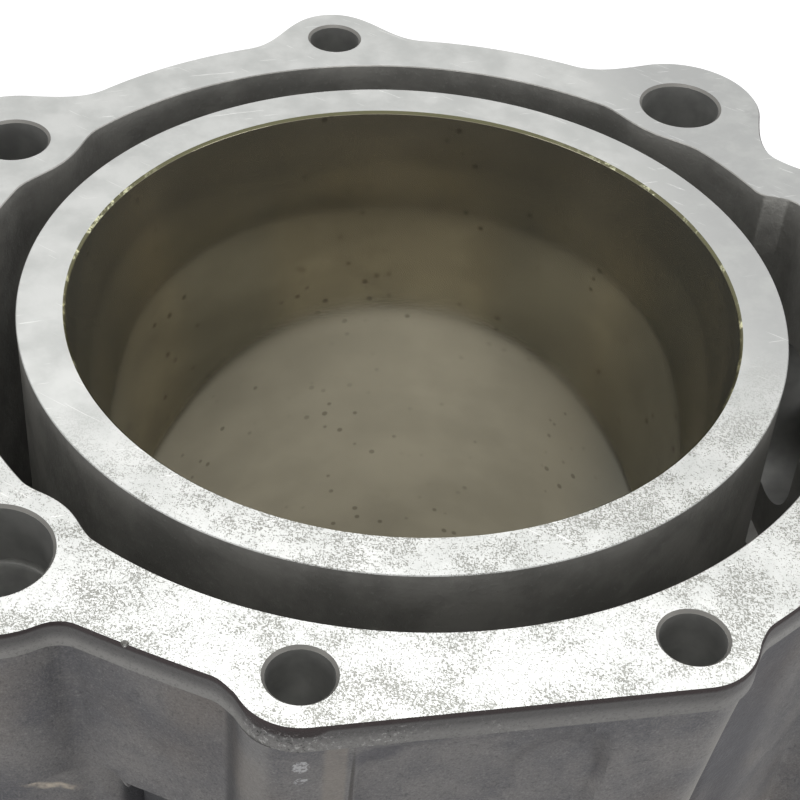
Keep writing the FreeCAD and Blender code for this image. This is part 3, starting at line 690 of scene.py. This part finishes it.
# %% Coolant port
PORT_BORE = radius("coolant_port")
PORT_MOUTH = 15.0  # half the height of the port where it opens into the jacket
MOUTH_END = 74.0  # where its tall part ends
NOSE_START = 66.0  # inside the outer wall
parts.append(loft([slot_ring((LINER + JACKET) / 2, PORT_BORE, PORT_MOUTH, PORT_BORE),
                   slot_ring(MOUTH_END, PORT_BORE, PORT_MOUTH, PORT_BORE),
                   slot_ring(MOUTH_END, PORT_BORE, PORT_BORE, PORT_BORE),
                   slot_ring(PORT_NOSE[0] + 1, PORT_BORE, PORT_BORE, PORT_BORE)]))
face, size = PORT_NOSE
nose = loft([slot_ring(NOSE_START, size, size, size), slot_ring(face - CORNER, size, size, size),
             slot_ring(face, size - CORNER, size - CORNER, size - CORNER)])
face, wide, tall = MOUTH_END + PAD_WALL, PORT_BORE + PAD_WALL, PORT_MOUTH + PAD_WALL
pad = loft([slot_ring(PAD_START, wide, tall, PAD_CORNER),
            slot_ring(face - CORNER, wide, tall, PAD_CORNER),
            slot_ring(face, wide - CORNER, tall - CORNER, PAD_CORNER - CORNER)])
print("port", 2 * PORT_BORE, "mm wide, its mouth", 2 * PORT_MOUTH, "mm tall")

# %% [markdown]
# ### Cutting
# A new face keeps the finish of its tool. The faster kind of boolean leaves slivers where
# surfaces nearly touch. Afterwards only edges sharper than a cast one stay crisp.

# %% Cut the casting
SHARP = math.radians(38)  # an edge that turns by more than this stays crisp
casting = bpy.data.objects.new("cylinder_casting", casting_mesh)
bpy.context.scene.collection.objects.link(casting)
port_boss = solid("port_boss", [nose], CAST)
port_pad = solid("port_pad", [pad], CAST)
drills = solid("drills", parts, DRILLED)


def boolean(item, operation, tool):
    """Adds an exact boolean; faces that the tool makes keep the tool's finish number."""
    step = item.modifiers.new(operation.lower(), "BOOLEAN")
    step.operation = operation
    step.object = tool
    step.solver = "EXACT"
    step.material_mode = "INDEX"


FINISH_NAMES = ["cast_wall", "machined_face", "flange_edge", "jacket_wall", "bore_plating",
                "drilled_wall", "bore_rim"]
paints = [bpy.data.materials.new(name) for name in FINISH_NAMES]
for item in (casting, port_boss, port_pad, drills):
    for paint in paints:
        item.data.materials.append(paint)
boolean(casting, "UNION", port_pad)
boolean(casting, "UNION", port_boss)
boolean(casting, "DIFFERENCE", drills)
graph = bpy.context.evaluated_depsgraph_get()
worked = bpy.data.meshes.new_from_object(casting.evaluated_get(graph))
casting.modifiers.clear()
casting.data = worked
for tool in (port_pad, port_boss, drills):
    bpy.data.objects.remove(tool)
worked.shade_smooth()
worked.set_sharp_from_angle(angle=SHARP)
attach(casting, "root")
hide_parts(NODE)
worked.calc_loop_triangles()
print("finished casting", len(worked.loop_triangles), "triangles", round(volume(worked), 1), "cm3")

# %% [markdown]
# ## Shader helpers
# A finish is a small formula, so it is written as one. A wrapped socket adds its own Math node
# for each operator, and every other node comes from one method. The other way, wiring nodes one
# by one, hides what the finish does.

# %% Shader helpers


class Signal:
    """An output socket that can stand in a sum; numbers may be on either side."""

    def __init__(self, tree, socket):
        self.tree, self.socket = tree, socket

    def calculate(self, operation, *others):
        node = self.tree.nodes.new("ShaderNodeMath")
        node.operation = operation
        for slot, item in zip(node.inputs, others):
            feed(self.tree, slot, item)
        return Signal(self.tree, node.outputs[0])

    def __add__(self, other):
        return self.calculate("ADD", self, other)

    def __sub__(self, other):
        return self.calculate("SUBTRACT", self, other)

    def __rsub__(self, other):
        return self.calculate("SUBTRACT", other, self)

    def __mul__(self, other):
        return self.calculate("MULTIPLY", self, other)

    def __truediv__(self, other):
        return self.calculate("DIVIDE", self, other)

    __radd__, __rmul__ = __add__, __mul__


def feed(tree, slot, item):
    """Links a signal to a socket, or sets a plain value on it."""
    if isinstance(item, Signal):
        tree.links.new(item.socket, slot)
    else:
        slot.default_value = item


print("a signal can be added, subtracted, multiplied and divided")

# %% One finish


class Finish:
    """One material and its node tree, with the object's own coordinates ready."""

    def __init__(self, material):
        material.use_nodes = True
        self.tree = material.node_tree
        self.shader = self.tree.nodes["Principled BSDF"]
        self.place = self.node("ShaderNodeTexCoord", output="Object")
        parts = self.node("ShaderNodeSeparateXYZ", sockets={"Vector": self.place}, output=None)
        self.x, self.y, self.z = [Signal(self.tree, socket) for socket in parts.outputs]

    def node(self, kind, settings=None, sockets=None, output=0):
        """Any node: its settings, then its sockets; gives one output, or the node for None."""
        node = self.tree.nodes.new(kind)
        for key, setting in (settings or {}).items():
            setattr(node, key, setting)
        for key, item in (sockets or {}).items():
            feed(self.tree, node.inputs[key], item)
        return node if output is None else Signal(self.tree, node.outputs[output])

    def noise(self, size, detail=2.0, stretch=(1, 1, 1), rough=0.5, seed=0.0, turn=0.0):
        """Cloudy noise about 0.5; size is the width of a cloud in metres, stretched along the axes
        and turned round the upright axis by an angle."""
        place = self.node("ShaderNodeVectorRotate", {"rotation_type": "Z_AXIS"},
                          {"Vector": self.place, "Angle": turn}) if turn else self.place
        place = self.node("ShaderNodeVectorMath", {"operation": "MULTIPLY_ADD"},
                          {0: place, 1: [1 / side for side in stretch], 2: (seed, seed, seed)})
        return self.node("ShaderNodeTexNoise", sockets={
            "Vector": place, "Scale": 1 / size, "Detail": detail, "Roughness": rough})

    def spots(self, size, seed=0.0, stretch=(1, 1, 1)):
        """Distance to the nearest of scattered points, in cells of a size."""
        place = self.node("ShaderNodeVectorMath", {"operation": "MULTIPLY_ADD"},
                          {0: self.place, 1: [1 / side for side in stretch], 2: (seed, seed, seed)})
        return self.node("ShaderNodeTexVoronoi", {"feature": "F1"},
                         {"Vector": place, "Scale": 1 / size}, "Distance")

    def ramp(self, signal, low, high, start=0.0, end=1.0):
        """A smooth step from start at low to end at high."""
        return self.node("ShaderNodeMapRange", {"interpolation_type": "SMOOTHSTEP"}, {
            "Value": signal, "From Min": low, "From Max": high, "To Min": start, "To Max": end})

    def band(self, signal, start, full, fading, end):
        """1 along a band between two values of a length, fading out to 0 on both sides; in mm."""
        rising = self.ramp(signal, start * MM, full * MM)
        return rising * self.ramp(signal, end * MM, fading * MM)

    def patch(self, across, up, x, z, half_x, half_z):
        """1 inside an ellipse on a wall, seen along two axes, fading out to 0 past its edge; in mm."""
        over_x = (across - x * MM) / (half_x * MM)
        over_z = (up - z * MM) / (half_z * MM)
        return self.ramp(over_x * over_x + over_z * over_z, 1.3, 0.4)

    def mix(self, share, one, other):
        """A colour between two: the first where the share is 0."""
        node = self.node("ShaderNodeMix", {"data_type": "RGBA"}, {0: share}, None)
        feed(self.tree, node.inputs[6], one)
        feed(self.tree, node.inputs[7], other)
        return Signal(self.tree, node.outputs[2])

    def coats(self, colour, *coats):
        """A colour with coats over it, each of them a share and a colour."""
        for share, coat in coats:
            colour = self.mix(share, colour, coat)
        return colour

    def bump(self, height, depth):
        """A surface normal from a height signal; depth is the height of 1 in metres."""
        return self.node("ShaderNodeBump", sockets={"Height": height, "Distance": depth, "Strength": 1.0})

    def finish(self, **sockets):
        """Sets the shader's sockets; two words are joined by an underscore."""
        for key, item in sockets.items():
            feed(self.tree, self.shader.inputs[key.replace("_", " ")], item)


print("finishes to paint", len(paints))

# %% [markdown]
# ## Finishes
# The casting has seven finishes: the rough outer skin, the milled deck, the scuffed edge below
# it, the dark jacket, the satin bore, the drilled holes and the rim of the bore. Each adds what
# the photograph shows to a plain colour. A painted picture would blur from near.
#
# ### Cast skin
# Sand-cast aluminium is grey with brown and bluish clouds, and with pale and dark grains.

# %% Cast skin
SKIN_DARK, SKIN_PALE = (0.105, 0.104, 0.112, 1), (0.2, 0.192, 0.188, 1)
SKIN_BROWN, SKIN_BLUE = (0.165, 0.14, 0.12, 1), (0.085, 0.088, 0.105, 1)
GRAIN_PALE, GRAIN_DARK = (0.3, 0.29, 0.28, 1), (0.06, 0.058, 0.056, 1)
DUST_PALE, DUST_DARK = (0.34, 0.335, 0.32, 1), (0.05, 0.05, 0.055, 1)
cast = Finish(paints[CAST])
mottle = cast.noise(0.012, 4, rough=0.65)
grain = cast.noise(0.0007, 3, rough=0.75)
dust = cast.noise(0.00028, 2, rough=0.7, seed=13.0)
brown = cast.ramp(cast.noise(0.03, 3, seed=3.0), 0.5, 0.66)
blue = cast.ramp(cast.noise(0.022, 3, seed=11.0), 0.56, 0.7)
skin = cast.coats(SKIN_DARK, (cast.ramp(mottle, 0.32, 0.68), SKIN_PALE),
                  (brown * 0.55, SKIN_BROWN), (blue * 0.6, SKIN_BLUE),
                  (cast.ramp(grain, 0.55, 0.75) * 0.45, GRAIN_PALE),
                  (cast.ramp(grain, 0.45, 0.3) * 0.5, GRAIN_DARK),
                  (cast.ramp(dust, 0.5, 0.75) * 0.3, DUST_PALE),
                  (cast.ramp(dust, 0.5, 0.3) * 0.35, DUST_DARK))
print("nodes in the bare skin", len(cast.tree.nodes))

# %% [markdown]
# ### Marks on the front block
# A strip of painted light beside a line of painted shade at the recess's left edge, a stain,
# the trace of an arch and two scuffs, each an ellipse or a band at its place. Scattered dirt would be
# quicker, but not this casting.

# %% Marks on the front block
STRIP_LIGHT, SHADE_LINE = (0.28, 0.25, 0.215, 1), (0.05, 0.045, 0.04, 1)
STAIN_DARK, ARCH_DARK = (0.06, 0.06, 0.075, 1), (0.055, 0.052, 0.055, 1)
SCRAPED = (0.5, 0.5, 0.51, 1)
ahead = cast.ramp(cast.y, -0.0715, -0.0728)
# The strip is painted light, and the seam is a line of painted shade along the recess's left edge.
strip = cast.band(cast.x, -22.4, -21.4, -19.5, -18.9) * ahead
shade_line = cast.patch(cast.x, cast.z, -18.4, 74.0, 0.35, 15.0) * ahead
stain = cast.patch(cast.x, cast.z, -15.4, 86.6, 3.0, 2.2) * ahead
arch = cast.patch(cast.x, cast.z, 6.6, 80.5, 7.0, 7.2)
arch = arch - cast.patch(cast.x, cast.z, 6.2, 78.5, 5.0, 6.0)
scuffs = cast.patch(cast.x, cast.z, -24.6, 86.2, 1.1, 1.2)
scuffs = scuffs + cast.patch(cast.x, cast.z, -24.5, 83.3, 0.9, 0.8) * 0.7
scrape = cast.ramp(cast.noise(0.00045, 3, rough=0.7, seed=21.0) + scuffs * 0.2, 0.6, 0.74)
skin = cast.coats(skin, (strip * cast.ramp(mottle, 0.2, 0.5) * 0.5, STRIP_LIGHT),
                  (shade_line * 0.7, SHADE_LINE), (stain * 0.5, STAIN_DARK),
                  (cast.ramp(arch * ahead * mottle, 0.15, 0.7) * 0.5, ARCH_DARK),
                  (scrape * cast.ramp(scuffs, 0.05, 0.5) * ahead * 0.8, SCRAPED))
print("nodes with the block's marks", len(cast.tree.nodes))

# %% [markdown]
# ### Marks beside the block
# A pale line of painted highlight runs down the left web, above a pocket painted dark inside as
# shade. Shade is painted next to the block and in the crease at its left, and light on both its corners.
# On the right the marks follow the leaning corner.

# %% Marks beside the block
LEDGE_HIGHLIGHT, POCKET_SHADE = (0.5, 0.44, 0.36, 1), (0.045, 0.045, 0.05, 1)
BLOCK_SHADE, GLEAM = (0.04, 0.04, 0.05, 1), (0.36, 0.345, 0.31, 1)
CREASE_SHADE, LEFT_CORNER_LIGHT = (0.05, 0.05, 0.052, 1), (0.33, 0.32, 0.3, 1)
WEB_ACROSS = (0.5015, 0.8652)  # direction across the left web
# The pale line along the ledge is a painted highlight.
waver = (cast.noise(0.004, 2, seed=5.0) - 0.5) * 0.0016
rise = (cast.z - 0.0628) + (cast.x + 0.0615) * 0.3 + waver
ledge_highlight = cast.band(rise, -0.8, -0.2, 0.2, 0.9)
ledge_highlight = ledge_highlight * cast.ramp(cast.x, -0.0495, -0.0525) * cast.ramp(cast.y, -0.05, -0.052)
ledge_highlight = ledge_highlight * cast.ramp(cast.noise(0.0015, 3, seed=6.0), 0.2, 0.55)
# The inside of the pocket is painted dark as shade.
depth = cast.x * WEB_ACROSS[0] + cast.y * WEB_ACROSS[1]
inside = cast.ramp(depth, -0.0702, -0.0688) * cast.ramp(cast.y, -0.045, -0.048)
inside = inside * cast.patch(cast.x, cast.z, -38.0, 46.0, 16.0, 26.0)
# Painted shade beside the block's right side.
past = (cast.x - 0.0312) + (0.092 - cast.z) * BLOCK_DRAFT
front_side = cast.ramp(cast.y, -0.056, -0.06) * cast.ramp(cast.z, 0.03, 0.04)
block_shade = cast.band(past, -0.2, 1.2, 7.5, 14.5) * front_side
# A painted highlight on the block's right corner.
gleam = cast.band(past, -5.5, -1.5, -0.2, 0.4) * front_side
# Painted shade in the crease at the block's left, and painted light on its left corner.
crease_shade = cast.band(cast.x, -32.7, -31.9, -31.8, -31.1) * front_side
lit = cast.band(cast.x, -31.6, -30.6, -29.0, -27.5) * front_side
skin = cast.coats(skin, (ledge_highlight, LEDGE_HIGHLIGHT), (inside * 0.85, POCKET_SHADE),
                  (block_shade * cast.ramp(mottle, 0.1, 0.5) * 0.65, BLOCK_SHADE), (gleam * 0.55, GLEAM),
                  (crease_shade * 0.7, CREASE_SHADE), (lit * 0.3, LEFT_CORNER_LIGHT))
cast.finish(Base_Color=skin, Metallic=0.35, Roughness=cast.ramp(mottle, 0.3, 0.7, 0.42, 0.6),
            Normal=cast.bump(grain + cast.noise(0.004, 2) * 1.5, 0.00014))
print("nodes in the cast skin", len(cast.tree.nodes))

# %% [markdown]
# ### Milled deck
# The near half of the deck is covered with clusters of short dark flecks, and a few scratches
# cross it. Stretched noise doesn't repeat, as a drawn pattern of cutter marks would.

# %% Milled deck
MILLED_DARK, MILLED_PALE = (0.46, 0.468, 0.452, 1), (0.54, 0.545, 0.528, 1)
SMUDGED, RIGHT_DARKER = (0.3, 0.3, 0.29, 1), (0.32, 0.325, 0.32, 1)
FLECKED, SCRATCHED = (0.15, 0.15, 0.13, 1), (0.85, 0.85, 0.83, 1)
milled = Finish(paints[MACHINED])
near = milled.ramp(milled.y, -0.014, -0.042)
cluster = milled.ramp(milled.noise(0.007, 4, rough=0.6, seed=5.0), 0.4, 0.6)
dashes = milled.noise(0.00016, 2, stretch=(2.2, 1, 1), seed=1.0, turn=0.5)
ticks = milled.noise(0.00016, 2, stretch=(1, 2.2, 1), seed=9.0, turn=0.2)
flecks = milled.ramp(dashes + cluster * 0.1, 0.61, 0.7)
flecks = flecks + milled.ramp(ticks + cluster * 0.1, 0.62, 0.7)
haze = milled.noise(0.006, 4, rough=0.62, seed=4.0)
smudge = milled.patch(milled.x, milled.y, 66.6, 42.2, 3.0, 1.6) * milled.ramp(haze, 0.35, 0.6)
# The far deck turns darker towards the right, in patches.
darker_right = milled.ramp(milled.x, 0.036, 0.052) * milled.ramp(haze, 0.25, 0.6) * (1 - near)
rising = milled.noise(0.00028, 1, stretch=(26, 1, 1), seed=2.0, turn=0.75)
level = milled.noise(0.0003, 1, stretch=(20, 1, 1), seed=7.0, turn=-0.1)
scratches = milled.ramp(rising, 0.74, 0.78) + milled.ramp(level, 0.74, 0.78)
plain = milled.coats(MILLED_DARK, (milled.ramp(haze, 0.3, 0.7), MILLED_PALE),
                     (smudge * 0.6, SMUDGED), (darker_right * 0.7, RIGHT_DARKER),
                     (milled.ramp(flecks, 0.1, 0.8) * near * 0.8, FLECKED),
                     (scratches * 0.4, SCRATCHED))
milled.finish(Base_Color=plain, Metallic=0.6, Roughness=milled.ramp(haze, 0.3, 0.7, 0.28, 0.34),
              Normal=milled.bump(flecks * near * -1 + scratches, 0.000008))
print("nodes in the milled deck", len(milled.tree.nodes))

# %% [markdown]
# ### Edge of the deck
# The narrow wall under the deck is dark along its top and worn pale in places at the front, so
# its bands follow the drop below the deck.

# %% Edge of the deck
EDGE_TOP_DARK, EDGE_DARK = (0.026, 0.018, 0.018, 1), (0.1, 0.096, 0.095, 1)
EDGE_MIDDLE, EDGE_PALE = (0.16, 0.156, 0.152, 1), (0.25, 0.245, 0.235, 1)
EDGE_GRAIN, EDGE_PIT = (0.04, 0.04, 0.04, 1), (0.02, 0.018, 0.016, 1)
EDGE_WORN = (0.45, 0.445, 0.43, 1)
edge = Finish(paints[EDGE])
blotch = edge.noise(0.0007, 4, rough=0.75, seed=6.0)
speckle = edge.noise(0.0004, 3, rough=0.75, seed=14.0)
ahead = edge.ramp(edge.y, -0.0705, -0.0735)
worn = edge.ramp(edge.noise(0.009, 2, seed=8.0), 0.3, 0.55)
worn = worn * ahead * edge.ramp(edge.x, 0.03, -0.012)
drop = (DECK * MM - edge.z) / MM
# The wall is darkest just under the deck, and dark further down near the block's left corner.
top_dark_patch = edge.patch(edge.x, edge.z, -27.0, 93.0, 5.0, 3.0) * ahead * 0.9
pits = edge.ramp(blotch, 0.42, 0.36) * worn * edge.ramp(drop, 0.3, 0.8)
bright = edge.ramp(blotch, 0.54, 0.62) * worn * edge.ramp(drop, 0.5, 1.5)
tone = edge.coats(EDGE_TOP_DARK, (edge.ramp(drop - top_dark_patch, 0.3, 0.8), EDGE_DARK),
                  (edge.ramp(drop, 1.2, 2.4), EDGE_MIDDLE),
                  (edge.ramp(drop, 2.0, 3.2) * (1 - ahead * 0.5), EDGE_PALE),
                  (edge.ramp(speckle, 0.5, 0.3) * 0.4, EDGE_GRAIN),
                  (pits, EDGE_PIT), (bright * 0.8, EDGE_WORN))
edge.finish(Base_Color=tone, Metallic=0.35, Roughness=0.48, Normal=edge.bump(blotch, 0.00012))
print("nodes in the edge", len(edge.tree.nodes))

# %% [markdown]
# ### Jacket
# The water has left a chalky film on the wall: the cast skin again, paler and not brown.

# %% Jacket walls
LIME_DARK, LIME_PALE = (0.27, 0.267, 0.25, 1), (0.4, 0.393, 0.37, 1)
SAND_PALE = (0.5, 0.49, 0.465, 1)
wet = Finish(paints[WET])
sand = wet.noise(0.0008, 3, rough=0.75)
deposit = wet.noise(0.012, 4, rough=0.6, seed=2.0)
lime = wet.coats(LIME_DARK, (wet.ramp(deposit, 0.35, 0.65), LIME_PALE),
                 (wet.ramp(sand, 0.55, 0.75) * 0.4, SAND_PALE))
wet.finish(Base_Color=lime, Metallic=0.5, Roughness=0.55,
           Normal=wet.bump(sand + wet.noise(0.003, 2), 0.0001))
print("nodes in the jacket", len(wet.tree.nodes))

# %% [markdown]
# ### Bore plating
# A warm satin that mirrors what is opposite, with groups of small dark dots, and its left and
# right sides painted greyer and darker as shade.
# Polished steel would be too blue and too sharp.

# %% Bore plating
SATIN_DARK, SATIN_PALE = (0.39, 0.362, 0.282, 1), (0.46, 0.426, 0.332, 1)
SATIN_SHADED_SIDE, DOT_DARK = (0.3, 0.3, 0.262, 1), (0.12, 0.1, 0.07, 1)
plated = Finish(paints[PLATED])
film = plated.noise(0.02, 4, stretch=(1, 1, 0.7), seed=1.0)
hone = plated.noise(0.0004, 2, stretch=(3, 3, 1), seed=2.0)
spread = plated.ramp(plated.noise(0.015, 2, seed=7.0), 0.42, 0.6)
dots = plated.ramp(plated.spots(0.0034, seed=3.0), 0.2, 0.1) * spread
# The bore's left and right sides are painted greyer and darker as shade.
sides = plated.ramp(plated.x * plated.x, 0.0013, 0.0022)
satin = plated.coats(SATIN_DARK, (plated.ramp(film, 0.35, 0.65), SATIN_PALE),
                     (sides * 0.8, SATIN_SHADED_SIDE), (dots * 0.55, DOT_DARK))
plated.finish(Base_Color=satin, Metallic=0.8,
              Roughness=plated.ramp(film, 0.3, 0.7, 0.06, 0.1),
              Normal=plated.bump(hone, 0.000002))
print("nodes in the plating", len(plated.tree.nodes))

# %% [markdown]
# ### Drilled holes
# A drill leaves fine turns along the wall. The darker chamfer is split off by height, since a
# finish of its own would need another boolean.

# %% Drilled walls
BARE_DARK, BARE_PALE = (0.33, 0.33, 0.32, 1), (0.43, 0.43, 0.415, 1)
LIP_DARK = (0.2, 0.195, 0.18, 1)
drilled = Finish(paints[DRILLED])
turns = drilled.noise(0.0006, 2, stretch=(8, 8, 1))
lip = drilled.ramp(drilled.z, (DECK - 0.42) * MM, (DECK - 0.37) * MM)
bare = drilled.mix(drilled.ramp(drilled.noise(0.004, 3), 0.3, 0.7), BARE_DARK, BARE_PALE)
drilled.finish(Base_Color=drilled.mix(lip, bare, LIP_DARK), Metallic=0.6, Roughness=0.42,
               Normal=drilled.bump(turns, 0.00003))
print("nodes in the drilled walls", len(drilled.tree.nodes))

# %% [markdown]
# ### Rim of the bore
# The plating ends on the chamfer, dark and greenish, with painted glints at both sides.

# %% Bore rim
RIM_DARK, RIM_GLINT = (0.16, 0.155, 0.09, 1), (0.8, 0.8, 0.55, 1)
rim = Finish(paints[RIM])
# Painted glints of reflected light, in patches on both sides of the rim.
glints = rim.ramp(rim.noise(0.0035, 4, rough=0.7, seed=5.0), 0.52, 0.64)
sides = rim.ramp(rim.x * rim.x, 0.0009, 0.0016)
rim.finish(Base_Color=rim.mix(glints * sides, RIM_DARK, RIM_GLINT), Metallic=0.9,
           Roughness=0.26, Normal=rim.bump(rim.noise(0.0006, 2), 0.00001))
print("nodes in the rim", len(rim.tree.nodes))

# %% [markdown]
# ## Floor and room
# The part stands on a pale floor in an even white room. The floor glows to the camera alone, so
# it stays white without lighting the part. A bent backdrop would show in the side views.

# %% Floor and room
FLOOR = SPIGOT_END * MM
FLOOR_REACH = 4.0  # metres from the part to the floor's edge
FLOOR_GLOW = 0.25
ROOM_LEVEL = 0.36  # light of the room on dull surfaces, where 1 is what the camera sees


def floor_mesh(size):
    """A square floor under the part."""
    mesh = bpy.data.meshes.new("floor")
    corners = [(-size, -size, FLOOR), (size, -size, FLOOR), (size, size, FLOOR), (-size, size, FLOOR)]
    mesh.from_pydata(corners, [], [(0, 1, 2, 3)])
    return mesh


floor = bpy.data.objects.new("floor", floor_mesh(FLOOR_REACH))
bpy.context.scene.collection.objects.link(floor)
floor_paint = bpy.data.materials.new("pale_floor")
pale = Finish(floor_paint)
pale_rays = pale.node("ShaderNodeLightPath", output="Is Camera Ray")
pale.finish(Base_Color=(0.9, 0.9, 0.9, 1), Roughness=0.9, Emission_Strength=FLOOR_GLOW,
            Emission_Color=pale.mix(pale_rays, (0, 0, 0, 1), (1, 1, 1, 1)))
floor.data.materials.append(floor_paint)

world = bpy.data.worlds.new("room")
bpy.context.scene.world = world
world.use_nodes = True
air = world.node_tree
background = air.nodes["Background"]
rays = air.nodes.new("ShaderNodeLightPath")
seen = Signal(air, rays.outputs["Is Camera Ray"])
glossy = Signal(air, rays.outputs["Is Glossy Ray"])
passed = Signal(air, rays.outputs["Is Transmission Ray"])
background.inputs["Color"].default_value = (1, 1, 1, 1)
feed(air, background.inputs["Strength"], (seen + glossy + passed) * (1 - ROOM_LEVEL) + ROOM_LEVEL)
print("floor at", round(FLOOR, 3), "m, room level", ROOM_LEVEL)

# %% [markdown]
# ## Lamps
# A lamp overhead and one behind give the deck its sheen, because a flat metal face shows what
# is opposite the camera. Two at the sides keep the outer walls readable.

# %% Lamps


def lamp(name, place, target, size, power):
    """A square lamp that faces a point."""
    light = bpy.data.lights.new(name, "AREA")
    light.shape = "RECTANGLE"
    light.size, light.size_y = size
    light.energy = power
    item = bpy.data.objects.new(name, light)
    way = Vector(target) - Vector(place)
    item.matrix_world = Matrix.Translation(place) @ way.to_track_quat("-Z", "Y").to_matrix().to_4x4()
    bpy.context.scene.collection.objects.link(item)


lamp("overhead", (0.0, 0.03, 0.9), (0, 0, 0), (0.5, 0.5), 3.2)
lamp("back", (0.13, 0.37, 0.815), (0, -0.06, 0.09), (0.7, 0.3), 2.3)
lamp("left", (-0.9, -0.45, 0.2), (0, 0, 0.05), (0.5, 0.5), 1.8)
lamp("right", (0.78, -0.6, 0.14), (0, 0, 0.05), (0.5, 0.5), 2.2)

# %% [markdown]
# ## Camera
# Its place, lens and axes were worked out from the two edges of the ring round the bore, which
# are circles in one plane. Moving it about until it looks right is slower and never quite ends.

# %% Camera
LENS = 83.85
SENSOR = 36.0
CAMERA_PLACE = (-0.0448, -0.2055, 0.2591)
VIEW = [(0.99735, 0.04806, 0.05461), (0.07274, -0.65888, -0.74872), (0.0, 0.75071, -0.66063)]
TWIST = math.radians(12.4)  # how far the part is turned under it
cosine, sine = math.cos(TWIST), math.sin(TWIST)
spin = np.array([[cosine, sine, 0], [-sine, cosine, 0], [0, 0, 1]])
axes = np.array(VIEW) @ spin.T
camera = bpy.data.objects.new("camera", bpy.data.cameras.new("camera"))
camera.data.sensor_width = SENSOR
camera.data.lens = LENS
turned_to = Matrix(np.stack([axes[0], -axes[1], -axes[2]], 1).tolist()).to_4x4()
camera.matrix_world = Matrix.Translation(CAMERA_PLACE) @ turned_to
bpy.context.scene.collection.objects.link(camera)
bpy.context.scene.camera = camera
bpy.context.scene.view_settings.view_transform = "Standard"
print("camera at", CAMERA_PLACE)
